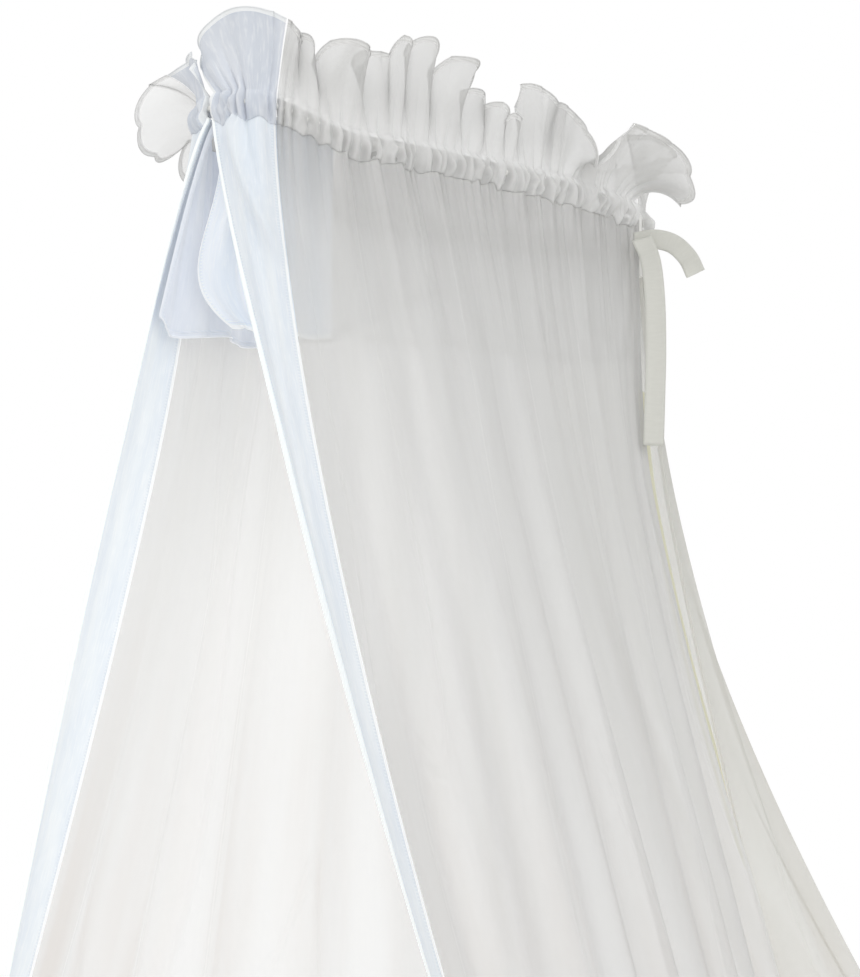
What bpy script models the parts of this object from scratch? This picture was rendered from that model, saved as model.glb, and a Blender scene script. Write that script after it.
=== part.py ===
"""Cot canopy: a sheer net gathered on an oval wire hoop.

The hoop carries a casing with a standing ruffle, a short flounce that hangs inside
the net, and the long net itself. The net is open at the front, where both edges have
a blue band, and slit at the back beside the hoop's stem, where two ribbons are tied.
Everything is laid out from the middle of the hoop: -Y is the front opening, +X the
near side, +Z up. The origin is the middle of the stem's lower end.
"""

from typing import NamedTuple

import bmesh
import bpy
import numpy as np

# The hoop and its stem
HOOP_LENGTH = 0.526
HOOP_WIDTH = 0.190
HOOP_SQUARENESS = 2.4        # exponent of the oval: 2 is an ellipse, more is squarer
HOOP_WIRE = 0.006
HOOP_FRONT_RISE = 0.032      # the front of the wire is bent up by this much
HOOP_FRONT_REACH = 0.110     # length of the bent-up stretch
HOOP_POINTS = 48
STEM_LENGTH = 0.060
STEM_DIAMETER = 0.012
STEM_SIDES = 24
TOUCH_GAP = 0.0003           # between meshes that rest on each other
NORMAL_STEP = 0.004          # share of the hoop over which its direction is taken

# The slit at the back, measured as a share of the hoop's perimeter from the front
SLIT_SHARE = 0.430
SLIT_DEPTH = 0.640           # from the casing down to where the two edges meet
SLIT_TOP_GAP = 0.024
SLIT_MIDDLE_GAP = 0.056
SLIT_TOP_END = 0.62          # share of the slit's depth over which the top gap closes
SLIT_MIDDLE_START = 0.45     # share of the slit's depth over which the middle gap opens
SLIT_FULLNESS = 0.8          # under 1, the middle gap is wide for longer
SLIT_NEAR_PART = 0.75        # of the middle gap by which the near edge gives way
SLIT_SPREAD = 0.05           # share of the hoop over which the cloth beside it gives way

# Cloth
CLOTH = 0.0015               # thickness of net, flounce and bands
RIBBON = 0.0012
SEAM_SHARE = 0.0017          # of the way round, left between cloths sewn edge to edge
CASING_RADIUS = 0.0088       # middle of the cloth that goes round the wire
CASING_GATHER = 0.0013
CASING_STITCH = 0.0110       # the stitched line above the wire
GATHERS = 34                 # small gathers round the whole hoop
BAND_SHARE = 0.050           # of the way round that each front band covers
BAND_COLUMNS = 4
MERGE = 0.00002              # points closer than this are one

# The net
NET_TOP = 0.0135             # below the wire's middle
HEM_DEPTH = 1.480
SPREAD_DEPTH = 0.950         # where the stations below give the outline
FOLD_START = 0.22            # share of their depth that the folds have at the casing
FOLD_FULL = 0.750            # depth at which the folds are full
FOLD_IN = 0.006              # how far the valleys lie inside the outline
FOLD_IN_FULL = 0.300         # depth from which they do
GATHER_DEPTH = 0.0030
GATHER_LENGTH = 0.220
NET_ROWS = (0.0, 0.05, 0.12, 0.22, 0.35, 0.50, SLIT_DEPTH, 0.80, 0.95, 1.10, 1.28, HEM_DEPTH)
NEAR_COLUMNS = 54
FAR_COLUMNS = 58

# The flounce that hangs inside the net
FLOUNCE_INSET = 0.0060       # inside the net at the casing
FLOUNCE_NEAR_END = 0.095     # of the way round that its near blue end covers
FLOUNCE_FAR_END = 0.138      # and its far one
FLOUNCE_ROWS = (0.0, 0.33, 0.66, 1.0)
FLOUNCE_WAVES = 12           # its own folds, on top of the net's
FLOUNCE_WAVE_DEPTH = 0.25    # as a share of its inset
FLOUNCE_FLARE = 0.042        # how far its near free edge swings out into the opening
FLOUNCE_FLARE_AROUND = 0.060  # of the way round over which it does
FLOUNCE_FLARE_LOW = 2.0      # over 1, it swings out most below its middle
FLOUNCE_FLARE_PART = 0.93    # under 1, its hem is still swung out
FLOUNCE_FLARE_TOWARDS = (-0.80, -0.60, 0.0)
FLOUNCE_NEAR_END_COLUMNS = 9
FLOUNCE_FAR_END_COLUMNS = 10
FLOUNCE_NEAR_COLUMNS = 27
FLOUNCE_FAR_COLUMNS = 32


class Station(NamedTuple):
    """A place round the canopy: where it is on the hoop and where the net is below it."""

    share: float             # of the hoop's perimeter, from the front over the near side
    x: float                 # at SPREAD_DEPTH, from the hoop's middle
    y: float
    hang: float              # 1 falls in a straight slope, more hangs first and flares later


STATIONS = (
    Station(0.003, 0.280, -0.160, 1.24),
    Station(0.060, 0.368, -0.210, 1.46),
    Station(0.120, 0.375, -0.130, 1.10),
    Station(0.250, 0.330, 0.060, 1.20),
    Station(0.360, 0.275, 0.195, 1.40),
    Station(SLIT_SHARE, 0.230, 0.305, 1.55),
    Station(0.490, 0.190, 0.565, 1.90),
    Station(0.560, 0.000, 0.620, 1.80),
    Station(0.680, -0.250, 0.380, 1.30),
    Station(0.800, -0.310, 0.020, 1.10),
    Station(0.930, -0.272, -0.312, 1.40),
    Station(0.996, -0.156, -0.411, 0.79),
)


class FlounceStation(NamedTuple):
    """A place round the flounce."""

    around: float            # 0 at the near front edge, 1 at the far one
    length: float
    follow: float            # 1 slopes out with the net, 0 hangs straight down
    inset: float             # added inside the net at its hem


FLOUNCE_STATIONS = (
    FlounceStation(0.000, 0.182, 0.05, 0.030),
    FlounceStation(0.075, 0.178, 0.35, 0.034),
    FlounceStation(0.120, 0.152, 0.50, 0.028),
    FlounceStation(0.170, 0.124, 0.68, 0.020),
    FlounceStation(0.430, 0.122, 0.75, 0.018),
    FlounceStation(0.850, 0.140, 0.80, 0.020),
    FlounceStation(0.930, 0.168, 0.92, 0.020),
    FlounceStation(0.975, 0.186, 0.98, 0.008),
    FlounceStation(1.000, 0.176, 1.00, 0.001),
)


class Fold(NamedTuple):
    """One long fold of the net."""

    width: float             # parts of the way round
    depth: float             # crest over valley, at full depth


NET_FOLDS = (
    Fold(5.0, 0.010), Fold(3.0, 0.016), Fold(4.0, 0.020), Fold(2.6, 0.014),
    Fold(3.4, 0.022), Fold(4.4, 0.018), Fold(2.8, 0.020), Fold(3.6, 0.015),
    Fold(2.4, 0.017), Fold(2.2, 0.012),
    Fold(2.4, 0.018), Fold(3.4, 0.034), Fold(3.0, 0.028), Fold(4.2, 0.036),
    Fold(2.6, 0.026), Fold(3.8, 0.032), Fold(3.0, 0.024), Fold(4.0, 0.034),
    Fold(2.8, 0.028), Fold(3.6, 0.022), Fold(5.0, 0.012),
)


class Lobe(NamedTuple):
    """One standing fold of the ruffle, and the valley after it."""

    width: float             # parts of the half's length
    lean: float              # degrees by which the crest's edge is turned out
    length: float            # of cloth above the stitched line, on the crest
    along: float             # how far the crest's edge is drawn along the hoop
    dip_lean: float          # the same two in the valley
    dip: float


NEAR_LOBES = (
    Lobe(15.8, 24, 0.074, 0.006, -10, 0.060), Lobe(4.2, 18, 0.068, 0.003, -10, 0.046),
    Lobe(8.5, 22, 0.074, -0.002, -8, 0.062), Lobe(4.6, -10, 0.083, 0.000, -5, 0.078),
    Lobe(3.6, 12, 0.092, 0.002, -5, 0.078), Lobe(5.8, 18, 0.098, 0.003, -5, 0.064),
    Lobe(7.0, 36, 0.086, 0.008, -10, 0.050), Lobe(5.3, -12, 0.067, 0.014, 5, 0.048),
    Lobe(5.2, 20, 0.054, 0.004, -6, 0.036), Lobe(3.6, 8, 0.046, 0.000, 0, 0.042),
    Lobe(8.4, 12, 0.082, -0.004, 4, 0.068), Lobe(7.0, 26, 0.060, 0.000, 130, 0.042),
    Lobe(21.0, 54, 0.074, 0.014, 148, 0.084),
)
FAR_LOBES = (
    Lobe(12.0, 46, 0.076, -0.014, -6, 0.062), Lobe(6.5, 22, 0.070, 0.000, -12, 0.054),
    Lobe(8.5, 38, 0.078, 0.004, -8, 0.062), Lobe(6.0, 16, 0.072, 0.000, -12, 0.054),
    Lobe(9.5, 34, 0.080, 0.006, -8, 0.062), Lobe(5.5, 24, 0.070, 0.000, -10, 0.054),
    Lobe(8.5, 44, 0.078, -0.004, -6, 0.060), Lobe(7.5, 60, 0.076, 0.000, 20, 0.064),
    Lobe(8.5, 110, 0.086, 0.002, 60, 0.078), Lobe(9.0, 150, 0.102, 0.002, 104, 0.086),
    Lobe(8.0, 138, 0.106, 0.004, 80, 0.086), Lobe(10.5, 24, 0.056, 0.004, 14, 0.054),
)
LOBE_SWIRL = 0.12            # share of its width by which a lobe's sides lean outwards
LOBE_FULLNESS = 0.75         # under 1, a crest is broad and a valley narrow
RUFFLE_BEND = 0.6            # under 1, the ruffle bends more near the stitched line
RUFFLE_BASE_LEAN = 0.0016
RUFFLE_GATHER = 0.0012
RUFFLE_ROWS = (0.0, 0.22, 0.48, 0.74, 1.0)
CORNER_REACH = 0.075         # share of a half over which its free end's top corner is rounded
CORNER_DROP = 0.42           # share of the cloth's length that is missing at the very end
DRAWN_REACH = 0.100          # share of a half over which its free end is drawn along
NEAR_FRONT_ALONG = -0.036    # how far each free end is drawn along the hoop
FAR_FRONT_ALONG = -0.012
FAR_FRONT_SHORT = 0.008      # of the way round by which the far ruffle stops before the net
NEAR_SLIT_ALONG = 0.030
FAR_SLIT_ALONG = -0.030
HEADING_END_COLUMNS = 12
HEADING_COLUMNS = 66
CASING_ANGLES = (105, 165, 225, 285, 345, 395)   # degrees round the wire, outer top last


class RibbonPoint(NamedTuple):
    """A point of a ribbon from the slit's top: along the ties' heading, out from it, down."""

    across: float
    out: float
    down: float


TIE_WIDTH = 0.020
TIE_HEADING = 49             # degrees from +X towards +Y
ARCHED_TIE = (
    RibbonPoint(-0.004, 0.032, 0.034), RibbonPoint(0.016, 0.036, 0.028),
    RibbonPoint(0.034, 0.036, 0.032), RibbonPoint(0.048, 0.034, 0.044),
    RibbonPoint(0.058, 0.032, 0.060),
)
HANGING_TIE = (
    RibbonPoint(0.006, 0.042, 0.034), RibbonPoint(0.018, 0.050, 0.060),
    RibbonPoint(0.021, 0.057, 0.100), RibbonPoint(0.018, 0.061, 0.150),
    RibbonPoint(0.012, 0.064, 0.200), RibbonPoint(0.009, 0.065, 0.246),
)


def smooth_through(knots, values, at):
    """A smooth line through (knots, values), read at `at`: cubic pieces whose slopes are
    the mean slopes of their neighbours."""
    knots = np.asarray(knots, float)
    values = np.asarray(values, float)
    slopes = np.gradient(values, knots)
    place = np.clip(np.searchsorted(knots, at, side="right") - 1, 0, len(knots) - 2)
    step = knots[place + 1] - knots[place]
    t = (at - knots[place]) / step
    keep = (1 + 2 * t) * (1 - t) ** 2
    take = t * t * (3 - 2 * t)
    leave = t * (1 - t) ** 2 * step
    arrive = t * t * (t - 1) * step
    return (keep * values[place] + take * values[place + 1]
            + leave * slopes[place] + arrive * slopes[place + 1])


def ease(t):
    """0 to 1 with a level start and end."""
    t = np.clip(t, 0.0, 1.0)
    return t * t * (3 - 2 * t)


def oval_by_length(samples=2000):
    """The hoop's oval: its perimeter, then shares of it, x and y, from the front over the
    near side."""
    turn = np.linspace(0.0, 2 * np.pi, samples + 1)
    power = 2.0 / HOOP_SQUARENESS
    sine, cosine = np.sin(turn), np.cos(turn)
    x = HOOP_WIDTH / 2 * np.sign(sine) * np.abs(sine) ** power
    y = -HOOP_LENGTH / 2 * np.sign(cosine) * np.abs(cosine) ** power
    length = np.concatenate([[0.0], np.cumsum(np.hypot(np.diff(x), np.diff(y)))])
    return length[-1], length / length[-1], x, y


HOOP_PERIMETER, OVAL_SHARES, OVAL_X, OVAL_Y = oval_by_length()


def on_hoop(share):
    """The wire's middle at a share of the way round, as x, y, z."""
    x = np.interp(share % 1.0, OVAL_SHARES, OVAL_X)
    y = np.interp(share % 1.0, OVAL_SHARES, OVAL_Y)
    rise = HOOP_FRONT_RISE * ease(1 - (y + HOOP_LENGTH / 2) / HOOP_FRONT_REACH)
    return x, y, rise


def outward(place, share, *more):
    """Unit vectors that point out of the line that `place` gives round the canopy."""
    before, after = place(share - NORMAL_STEP, *more), place(share + NORMAL_STEP, *more)
    across_x, across_y = after[0] - before[0], after[1] - before[1]
    size = np.hypot(across_x, across_y)
    return across_y / size, -across_x / size


def fold_line(folds, around):
    """0 in the valleys and each fold's depth on its crest, along `around` (0 to 1)."""
    ends = np.concatenate([[0.0], np.cumsum([fold.width for fold in folds])])
    ends /= ends[-1]
    place = np.clip(np.searchsorted(ends, around, side="right") - 1, 0, len(folds) - 1)
    phase = (around - ends[place]) / (ends[place + 1] - ends[place])
    depth = np.array([fold.depth for fold in folds])[place]
    return depth * (1 - np.cos(2 * np.pi * phase)) / 2


def hung_line(share, depth, follow):
    """Where the cloth hangs before its folds, at a share of the hoop and a depth below
    the casing. `follow` is the part of the net's slope that it takes."""
    shares = [station.share for station in STATIONS]
    top_x, top_y, top_z = on_hoop(share)
    out_x, out_y, hang = (
        smooth_through(shares, [getattr(station, name) for station in STATIONS], share)
        for name in ("x", "y", "hang"))
    sloped = np.clip(depth / SPREAD_DEPTH, 0.0, 1.0) ** hang
    below = np.clip((depth - SPREAD_DEPTH) / (HEM_DEPTH - SPREAD_DEPTH), 0.0, 1.0)
    eased = hang * below * (1 - below + below ** 2 / 3) * (HEM_DEPTH / SPREAD_DEPTH - 1)
    reach = (sloped + eased) * follow
    return (top_x + (out_x - top_x) * reach, top_y + (out_y - top_y) * reach,
            top_z * (1 - depth / HEM_DEPTH) - NET_TOP - depth)


def share_at(around):
    """The share of the hoop under a place round the cloth, 0 near front edge, 1 far one."""
    return STATIONS[0].share + around * (STATIONS[-1].share - STATIONS[0].share)


def net_surface(around, depth, half, follow=1.0, inset=0.0):
    """The net's middle surface at `around` (0 near front edge, 1 far front edge) and
    `depth` below the casing; `half` is +1 for the far side of the slit, -1 for the near.
    A cloth that follows it from inside gives its own follow and inset."""
    share = share_at(around)
    x, y, z = hung_line(share, depth, follow)
    normal_x, normal_y = outward(hung_line, share, depth, follow)
    grown = FOLD_START + (1 - FOLD_START) * ease(depth / FOLD_FULL)
    folds = fold_line(NET_FOLDS, around) * grown - FOLD_IN * ease(depth / FOLD_IN_FULL)
    gathers = GATHER_DEPTH * np.sin(2 * np.pi * GATHERS * around) * ease(1 - depth / GATHER_LENGTH)
    push = folds + gathers - inset
    open_by = slit_opening(depth, half) * np.exp(-np.abs(share - SLIT_SHARE) / SLIT_SPREAD)
    x = x + normal_x * push - normal_y * open_by * half
    y = y + normal_y * push + normal_x * open_by * half
    return x, y, z


def slit_opening(depth, half):
    """How far one edge of the slit gives way at a depth: the slit is open at the casing,
    widest in the middle and shut below, and in the middle the near edge gives way most."""
    down = np.clip(depth / SLIT_DEPTH, 0.0, 1.0)
    top = SLIT_TOP_GAP * (1 - ease(down / SLIT_TOP_END))
    middle = SLIT_MIDDLE_GAP * np.sin(np.pi * down ** SLIT_FULLNESS) ** SLIT_FULLNESS
    part = SLIT_NEAR_PART if half < 0 else 1 - SLIT_NEAR_PART
    return top / 2 + middle * part * ease(down / SLIT_MIDDLE_START)


def slit_around():
    """The slit's place on the scale that net_surface uses."""
    first, last = STATIONS[0].share, STATIONS[-1].share
    return (SLIT_SHARE - first) / (last - first)


def net_grid(first, last, columns, rows, half):
    """Points of the net between two places round it, as rows of points."""
    around, depth = np.meshgrid(np.linspace(first, last, columns + 1), rows)
    return np.stack(net_surface(around, depth, half), axis=-1)


def flounce_grid(first, last, columns, half):
    """Points of the flounce: it follows the net from inside, is longer at the front, and
    its near free edge swings out into the opening."""
    around, part = np.meshgrid(np.linspace(first, last, columns + 1), FLOUNCE_ROWS)
    knots = [station.around for station in FLOUNCE_STATIONS]
    length, follow, inset = (
        smooth_through(knots, [getattr(station, name) for station in FLOUNCE_STATIONS], around)
        for name in ("length", "follow", "inset"))
    wave = 1 + FLOUNCE_WAVE_DEPTH * np.sin(2 * np.pi * FLOUNCE_WAVES * around)
    inset = FLOUNCE_INSET + inset * part * wave
    points = np.stack(net_surface(around, part * length, half, follow, inset), axis=-1)
    flare = FLOUNCE_FLARE * np.sin(np.pi * (FLOUNCE_FLARE_PART * part) ** FLOUNCE_FLARE_LOW)
    flare = flare * (1 - ease(around / FLOUNCE_FLARE_AROUND))
    return points + flare[..., None] * np.array(FLOUNCE_FLARE_TOWARDS)


class Half(NamedTuple):
    """One half of the casing and its ruffle, over the hoop's shares from first to last."""

    lobes: tuple
    first: float
    last: float
    first_along: float       # how far its free ends are drawn along the hoop
    last_along: float
    corners: tuple           # the ends, 0 or 1, where the top corner is rounded


def lobe_edge(half, along):
    """The ruffle's top edge along one half, 0 to 1: the angle by which it is turned out,
    the cloth's length, the share of the half by which the lobe's sides spread, and the
    way by which the edge is drawn along the hoop."""
    lobes = half.lobes
    ends = np.concatenate([[0.0], np.cumsum([lobe.width for lobe in lobes])])
    ends /= ends[-1]
    place = np.clip(np.searchsorted(ends, along, side="right") - 1, 0, len(lobes) - 1)
    width = ends[place + 1] - ends[place]
    phase = (along - ends[place]) / width
    crest = ((1 - np.cos(2 * np.pi * phase)) / 2) ** LOBE_FULLNESS
    columns = {name: np.array([getattr(lobe, name) for lobe in lobes]) for name in Lobe._fields}
    before = np.maximum(place - 1, 0)
    edge = []
    for valley, top in (("dip_lean", "lean"), ("dip", "length")):
        low = np.where(phase < 0.5, columns[valley][before], columns[valley][place])
        edge.append(low + (columns[top][place] - low) * crest)
    turned, length = np.radians(edge[0]), edge[1]
    for end in half.corners:
        corner = 1 - np.minimum(np.abs(along - end) / CORNER_REACH, 1.0)
        length = length * (1 - CORNER_DROP * corner ** 2)
    drawn = columns["along"][place] * crest
    for end, reach in ((0, half.first_along), (1, half.last_along)):
        drawn = drawn + reach * (1 - ease(np.abs(along - end) / DRAWN_REACH))
    return turned, length, -LOBE_SWIRL * width * np.sin(2 * np.pi * phase), drawn


def heading_grid(half, columns, part_first=0.0, part_last=1.0):
    """Points of one half of the casing and ruffle, for the part of it between part_first
    and part_last. Above the stitched line each row of the ruffle leans out more than the
    one below it."""
    part = np.linspace(part_first, part_last, columns + 1)
    share = half.first + (half.last - half.first) * part
    gather = np.sin(2 * np.pi * GATHERS * share)
    rows = []
    for angle in np.radians(CASING_ANGLES):
        radius = CASING_RADIUS + CASING_GATHER * gather
        rows.append((share, radius * np.cos(angle), radius * np.sin(angle)))
    turned, length, spread, drawn = lobe_edge(half, part)
    sideways, upwards, below = RUFFLE_BASE_LEAN, CASING_STITCH, RUFFLE_ROWS[0]
    for up in RUFFLE_ROWS:
        lean = turned * ((up + below) / 2) ** RUFFLE_BEND
        sideways = sideways + length * (up - below) * np.sin(lean)
        upwards = upwards + length * (up - below) * np.cos(lean)
        pinch = RUFFLE_GATHER * gather * (1 - up)
        moved = share + (spread * (half.last - half.first) + drawn / HOOP_PERIMETER) * up
        rows.append((moved, sideways + pinch, upwards))
        below = up
    normal_x, normal_y = outward(on_hoop, share)
    points = []
    for row_share, sideways, upwards in rows:
        x, y, z = on_hoop(row_share)
        points.append(np.stack([x + normal_x * sideways, y + normal_y * sideways,
                                z + upwards], axis=-1))
    return np.array(points)


def ribbon_grid(points):
    """A strip along the ribbon's points, its face turned out from the ties' heading."""
    heading = np.radians(TIE_HEADING)
    across = np.array([np.cos(heading), np.sin(heading), 0.0])
    out = np.array([np.sin(heading), -np.cos(heading), 0.0])
    start = np.array(on_hoop(SLIT_SHARE))
    steps = np.linspace(0, len(points) - 1, 3 * (len(points) - 1) + 1)
    knots = np.arange(len(points))
    columns = [smooth_through(knots, [getattr(point, name) for point in points], steps)
               for name in RibbonPoint._fields]
    middle = (start + columns[0][:, None] * across + columns[1][:, None] * out
              - columns[2][:, None] * np.array([0.0, 0.0, 1.0]))
    along = np.gradient(middle, axis=0)
    along /= np.linalg.norm(along, axis=1)[:, None]
    side = np.cross(along, out)
    side /= np.linalg.norm(side, axis=1)[:, None]
    offsets = np.linspace(-TIE_WIDTH / 2, TIE_WIDTH / 2, 3)
    return middle[None] + offsets[:, None, None] * side[None]


def net_sheets():
    """The net, one cloth from band to band that is slit at the back, and its two bands."""
    slit = slit_around()
    rows = np.array(NET_ROWS)
    seam = BAND_SHARE + SEAM_SHARE
    return {
        "band_near": [net_grid(0.0, BAND_SHARE, BAND_COLUMNS, rows, -1)],
        "band_far": [net_grid(1 - BAND_SHARE, 1.0, BAND_COLUMNS, rows, 1)],
        "net": [net_grid(seam, slit, NEAR_COLUMNS, rows, -1),
                net_grid(slit, 1 - seam, FAR_COLUMNS, rows, 1)],
    }


def flounce_sheets():
    """The flounce's two halves, which part at the slit, and its two blue ends."""
    slit = slit_around()
    near, far = FLOUNCE_NEAR_END, 1 - FLOUNCE_FAR_END
    return {
        "flounce_end_near": [flounce_grid(0.0, near, FLOUNCE_NEAR_END_COLUMNS, -1)],
        "flounce_near": [flounce_grid(near + SEAM_SHARE, slit, FLOUNCE_NEAR_COLUMNS, -1)],
        "flounce_far": [flounce_grid(slit, far - SEAM_SHARE, FLOUNCE_FAR_COLUMNS, 1)],
        "flounce_end_far": [flounce_grid(far, 1.0, FLOUNCE_FAR_END_COLUMNS, 1)],
    }


def heading_sheets():
    """The casing with its ruffle, in two halves from the front to the slit, each with a
    blue end at the front."""
    half_gap = SLIT_TOP_GAP / 2 / HOOP_PERIMETER
    near = Half(NEAR_LOBES, STATIONS[0].share, SLIT_SHARE - half_gap,
                NEAR_FRONT_ALONG, NEAR_SLIT_ALONG, corners=(0, 1))
    far = Half(FAR_LOBES, SLIT_SHARE + half_gap, STATIONS[-1].share - FAR_FRONT_SHORT,
               FAR_SLIT_ALONG, FAR_FRONT_ALONG, corners=(1,))
    near_length, far_length = near.last - near.first, far.last - far.first
    near_blue, near_seam = BAND_SHARE / near_length, SEAM_SHARE / near_length
    far_blue = 1 - (BAND_SHARE - FAR_FRONT_SHORT) / far_length
    far_seam = SEAM_SHARE / far_length
    return {
        "heading_end_near": [heading_grid(near, HEADING_END_COLUMNS, 0.0, near_blue)],
        "heading_near": [heading_grid(near, HEADING_COLUMNS, near_blue + near_seam, 1.0)],
        "heading_far": [heading_grid(far, HEADING_COLUMNS, 0.0, far_blue - far_seam)],
        "heading_end_far": [heading_grid(far, HEADING_END_COLUMNS, far_blue, 1.0)],
    }


def material(name, colour, roughness, metallic=0.0):
    """A Principled material of the part's colour."""
    made = bpy.data.materials.new(name)
    made.use_nodes = True
    shader = made.node_tree.nodes["Principled BSDF"]
    shader.inputs["Base Color"].default_value = (*colour, 1.0)
    shader.inputs["Roughness"].default_value = roughness
    shader.inputs["Metallic"].default_value = metallic
    return made


def add_object(name, mesh, finish, collection, frame):
    """Puts a mesh into the collection as a smooth-shaded object under the frame empty."""
    mesh.materials.append(finish)
    made = bpy.data.objects.new(name, mesh)
    made.parent = frame
    collection.objects.link(made)
    return made


def cloth(name, grids, thickness, finish, collection, frame):
    """A sheet from one or more grids of points that share an edge, thickened evenly."""
    shell = bmesh.new()
    for grid in grids:
        rows, columns = grid.shape[:2]
        corners = [[shell.verts.new(point) for point in row] for row in grid]
        for row in range(rows - 1):
            for column in range(columns - 1):
                shell.faces.new((corners[row][column], corners[row + 1][column],
                                 corners[row + 1][column + 1], corners[row][column + 1]))
    bmesh.ops.remove_doubles(shell, verts=shell.verts, dist=MERGE)
    mesh = bpy.data.meshes.new(name)
    shell.to_mesh(mesh)
    shell.free()
    mesh.shade_smooth()
    made = add_object(name, mesh, finish, collection, frame)
    solid = made.modifiers.new("thickness", "SOLIDIFY")
    solid.thickness = thickness
    solid.offset = 0.0
    return made


def hoop(finish, collection, frame):
    """The wire oval as a closed curve with a round bevel."""
    curve = bpy.data.curves.new("hoop", "CURVE")
    curve.dimensions = "3D"
    curve.bevel_depth = HOOP_WIRE / 2
    curve.bevel_resolution = 2
    spline = curve.splines.new("POLY")
    spline.points.add(HOOP_POINTS - 1)
    x, y, z = on_hoop(np.arange(HOOP_POINTS) / HOOP_POINTS)
    spline.points.foreach_set("co", np.stack([x, y, z, np.ones_like(x)], axis=1).ravel())
    spline.use_cyclic_u = True
    curve.materials.append(finish)
    made = bpy.data.objects.new("hoop", curve)
    made.parent = frame
    collection.objects.link(made)
    return made


def stem(finish, collection, frame):
    """The round rod under the hoop, beside the slit; its flat lower end is the mount."""
    rod = bmesh.new()
    bmesh.ops.create_cone(rod, cap_ends=True, segments=STEM_SIDES, radius1=STEM_DIAMETER / 2,
                          radius2=STEM_DIAMETER / 2, depth=STEM_LENGTH)
    mesh = bpy.data.meshes.new("stem")
    rod.to_mesh(mesh)
    rod.free()
    made = add_object("stem", mesh, finish, collection, frame)
    x, y, z = on_hoop(SLIT_SHARE)
    made.location = (x, y, z - HOOP_WIRE / 2 - TOUCH_GAP - STEM_LENGTH / 2)
    return made


def clear_scene():
    """Removes what the startup scene holds."""
    for old in list(bpy.data.objects):
        bpy.data.objects.remove(old, do_unlink=True)


def main():
    """Builds every piece of the canopy."""
    clear_scene()
    parts = bpy.data.collections.new("mosquito_net_canopy")
    bpy.context.scene.collection.children.link(parts)
    frame = bpy.data.objects.new("hoop_middle", None)
    parts.objects.link(frame)
    stem_x, stem_y, stem_z = on_hoop(SLIT_SHARE)
    frame.location = (-stem_x, -stem_y, STEM_LENGTH + TOUCH_GAP + HOOP_WIRE / 2 - stem_z)

    net = material("sheer_net", (0.86, 0.86, 0.85), 0.85)
    blue = material("pale_blue_cotton", (0.66, 0.74, 0.86), 0.80)
    ribbon = material("white_ribbon", (0.82, 0.82, 0.79), 0.60)
    wire = material("white_wire", (0.85, 0.85, 0.85), 0.40)

    hoop(wire, parts, frame)
    stem(wire, parts, frame)

    sheets = {**net_sheets(), **flounce_sheets(), **heading_sheets()}
    for name, grids in sheets.items():
        finish = blue if name.startswith("band") or "_end_" in name else net
        cloth(name, grids, CLOTH, finish, parts, frame)
    cloth("tie_arched", [ribbon_grid(ARCHED_TIE)], RIBBON, ribbon, parts, frame)
    cloth("tie_hanging", [ribbon_grid(HANGING_TIE)], RIBBON, ribbon, parts, frame)


main()
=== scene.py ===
"""Cot canopy: a sheer net on an oval wire hoop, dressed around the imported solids.

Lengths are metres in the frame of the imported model: -Y is the front opening, +X the near
side, +Z up, and the origin is the middle of the stem's lower end.
"""

import sys
import logging
from dataclasses import dataclass, field
from enum import Enum
from functools import cached_property
from typing import Callable, NamedTuple, Sequence

import bmesh
import bpy
import numpy as np
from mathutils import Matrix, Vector


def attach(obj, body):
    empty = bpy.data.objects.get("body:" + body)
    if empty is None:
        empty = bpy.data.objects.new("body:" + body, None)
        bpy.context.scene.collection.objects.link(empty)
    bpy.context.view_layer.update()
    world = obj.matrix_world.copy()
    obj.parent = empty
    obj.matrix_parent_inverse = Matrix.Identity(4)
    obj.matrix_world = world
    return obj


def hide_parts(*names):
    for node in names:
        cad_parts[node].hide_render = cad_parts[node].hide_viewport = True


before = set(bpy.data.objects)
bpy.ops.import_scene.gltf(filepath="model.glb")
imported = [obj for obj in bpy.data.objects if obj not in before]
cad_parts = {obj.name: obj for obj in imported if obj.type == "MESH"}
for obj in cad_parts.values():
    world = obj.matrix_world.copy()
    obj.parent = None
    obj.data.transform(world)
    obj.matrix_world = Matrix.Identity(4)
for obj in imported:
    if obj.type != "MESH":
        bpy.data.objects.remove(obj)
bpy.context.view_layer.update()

log = logging.getLogger("canopy")

BODY = "root"
GOLDEN = 0.6180339887
NORMAL_STEP = 0.004          # share of the hoop over which its direction is taken
TOUCH_GAP = 0.0003           # between the stem and the wire
UP = np.array([0.0, 0.0, 1.0])
HEM_TURNS = (60, 120, 180, 240, 300)   # degrees of the rows that roll a narrow hem


class Panel(Enum):
    """The two sides of the slit: the sign by which each gives way to it."""

    NEAR = -1
    FAR = 1


class Hold(Enum):
    """How a cloth is held, in the words that the frame uses."""

    GATHERED = "gathered"
    HUNG = "hung"


class Slot(Enum):
    """The record's material slots."""

    NET = "sheer_net"
    BLUE = "blue_cotton"
    RIBBON = "ribbon"
    WIRE = "wire"


# ---------------------------------------------------------------- lines and waves

def ease(t: np.ndarray) -> np.ndarray:
    """0 to 1 with a level start and end: 3t squared less 2t cubed."""
    t = np.clip(t, 0.0, 1.0)
    return t * t * (3 - 2 * t)


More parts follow.
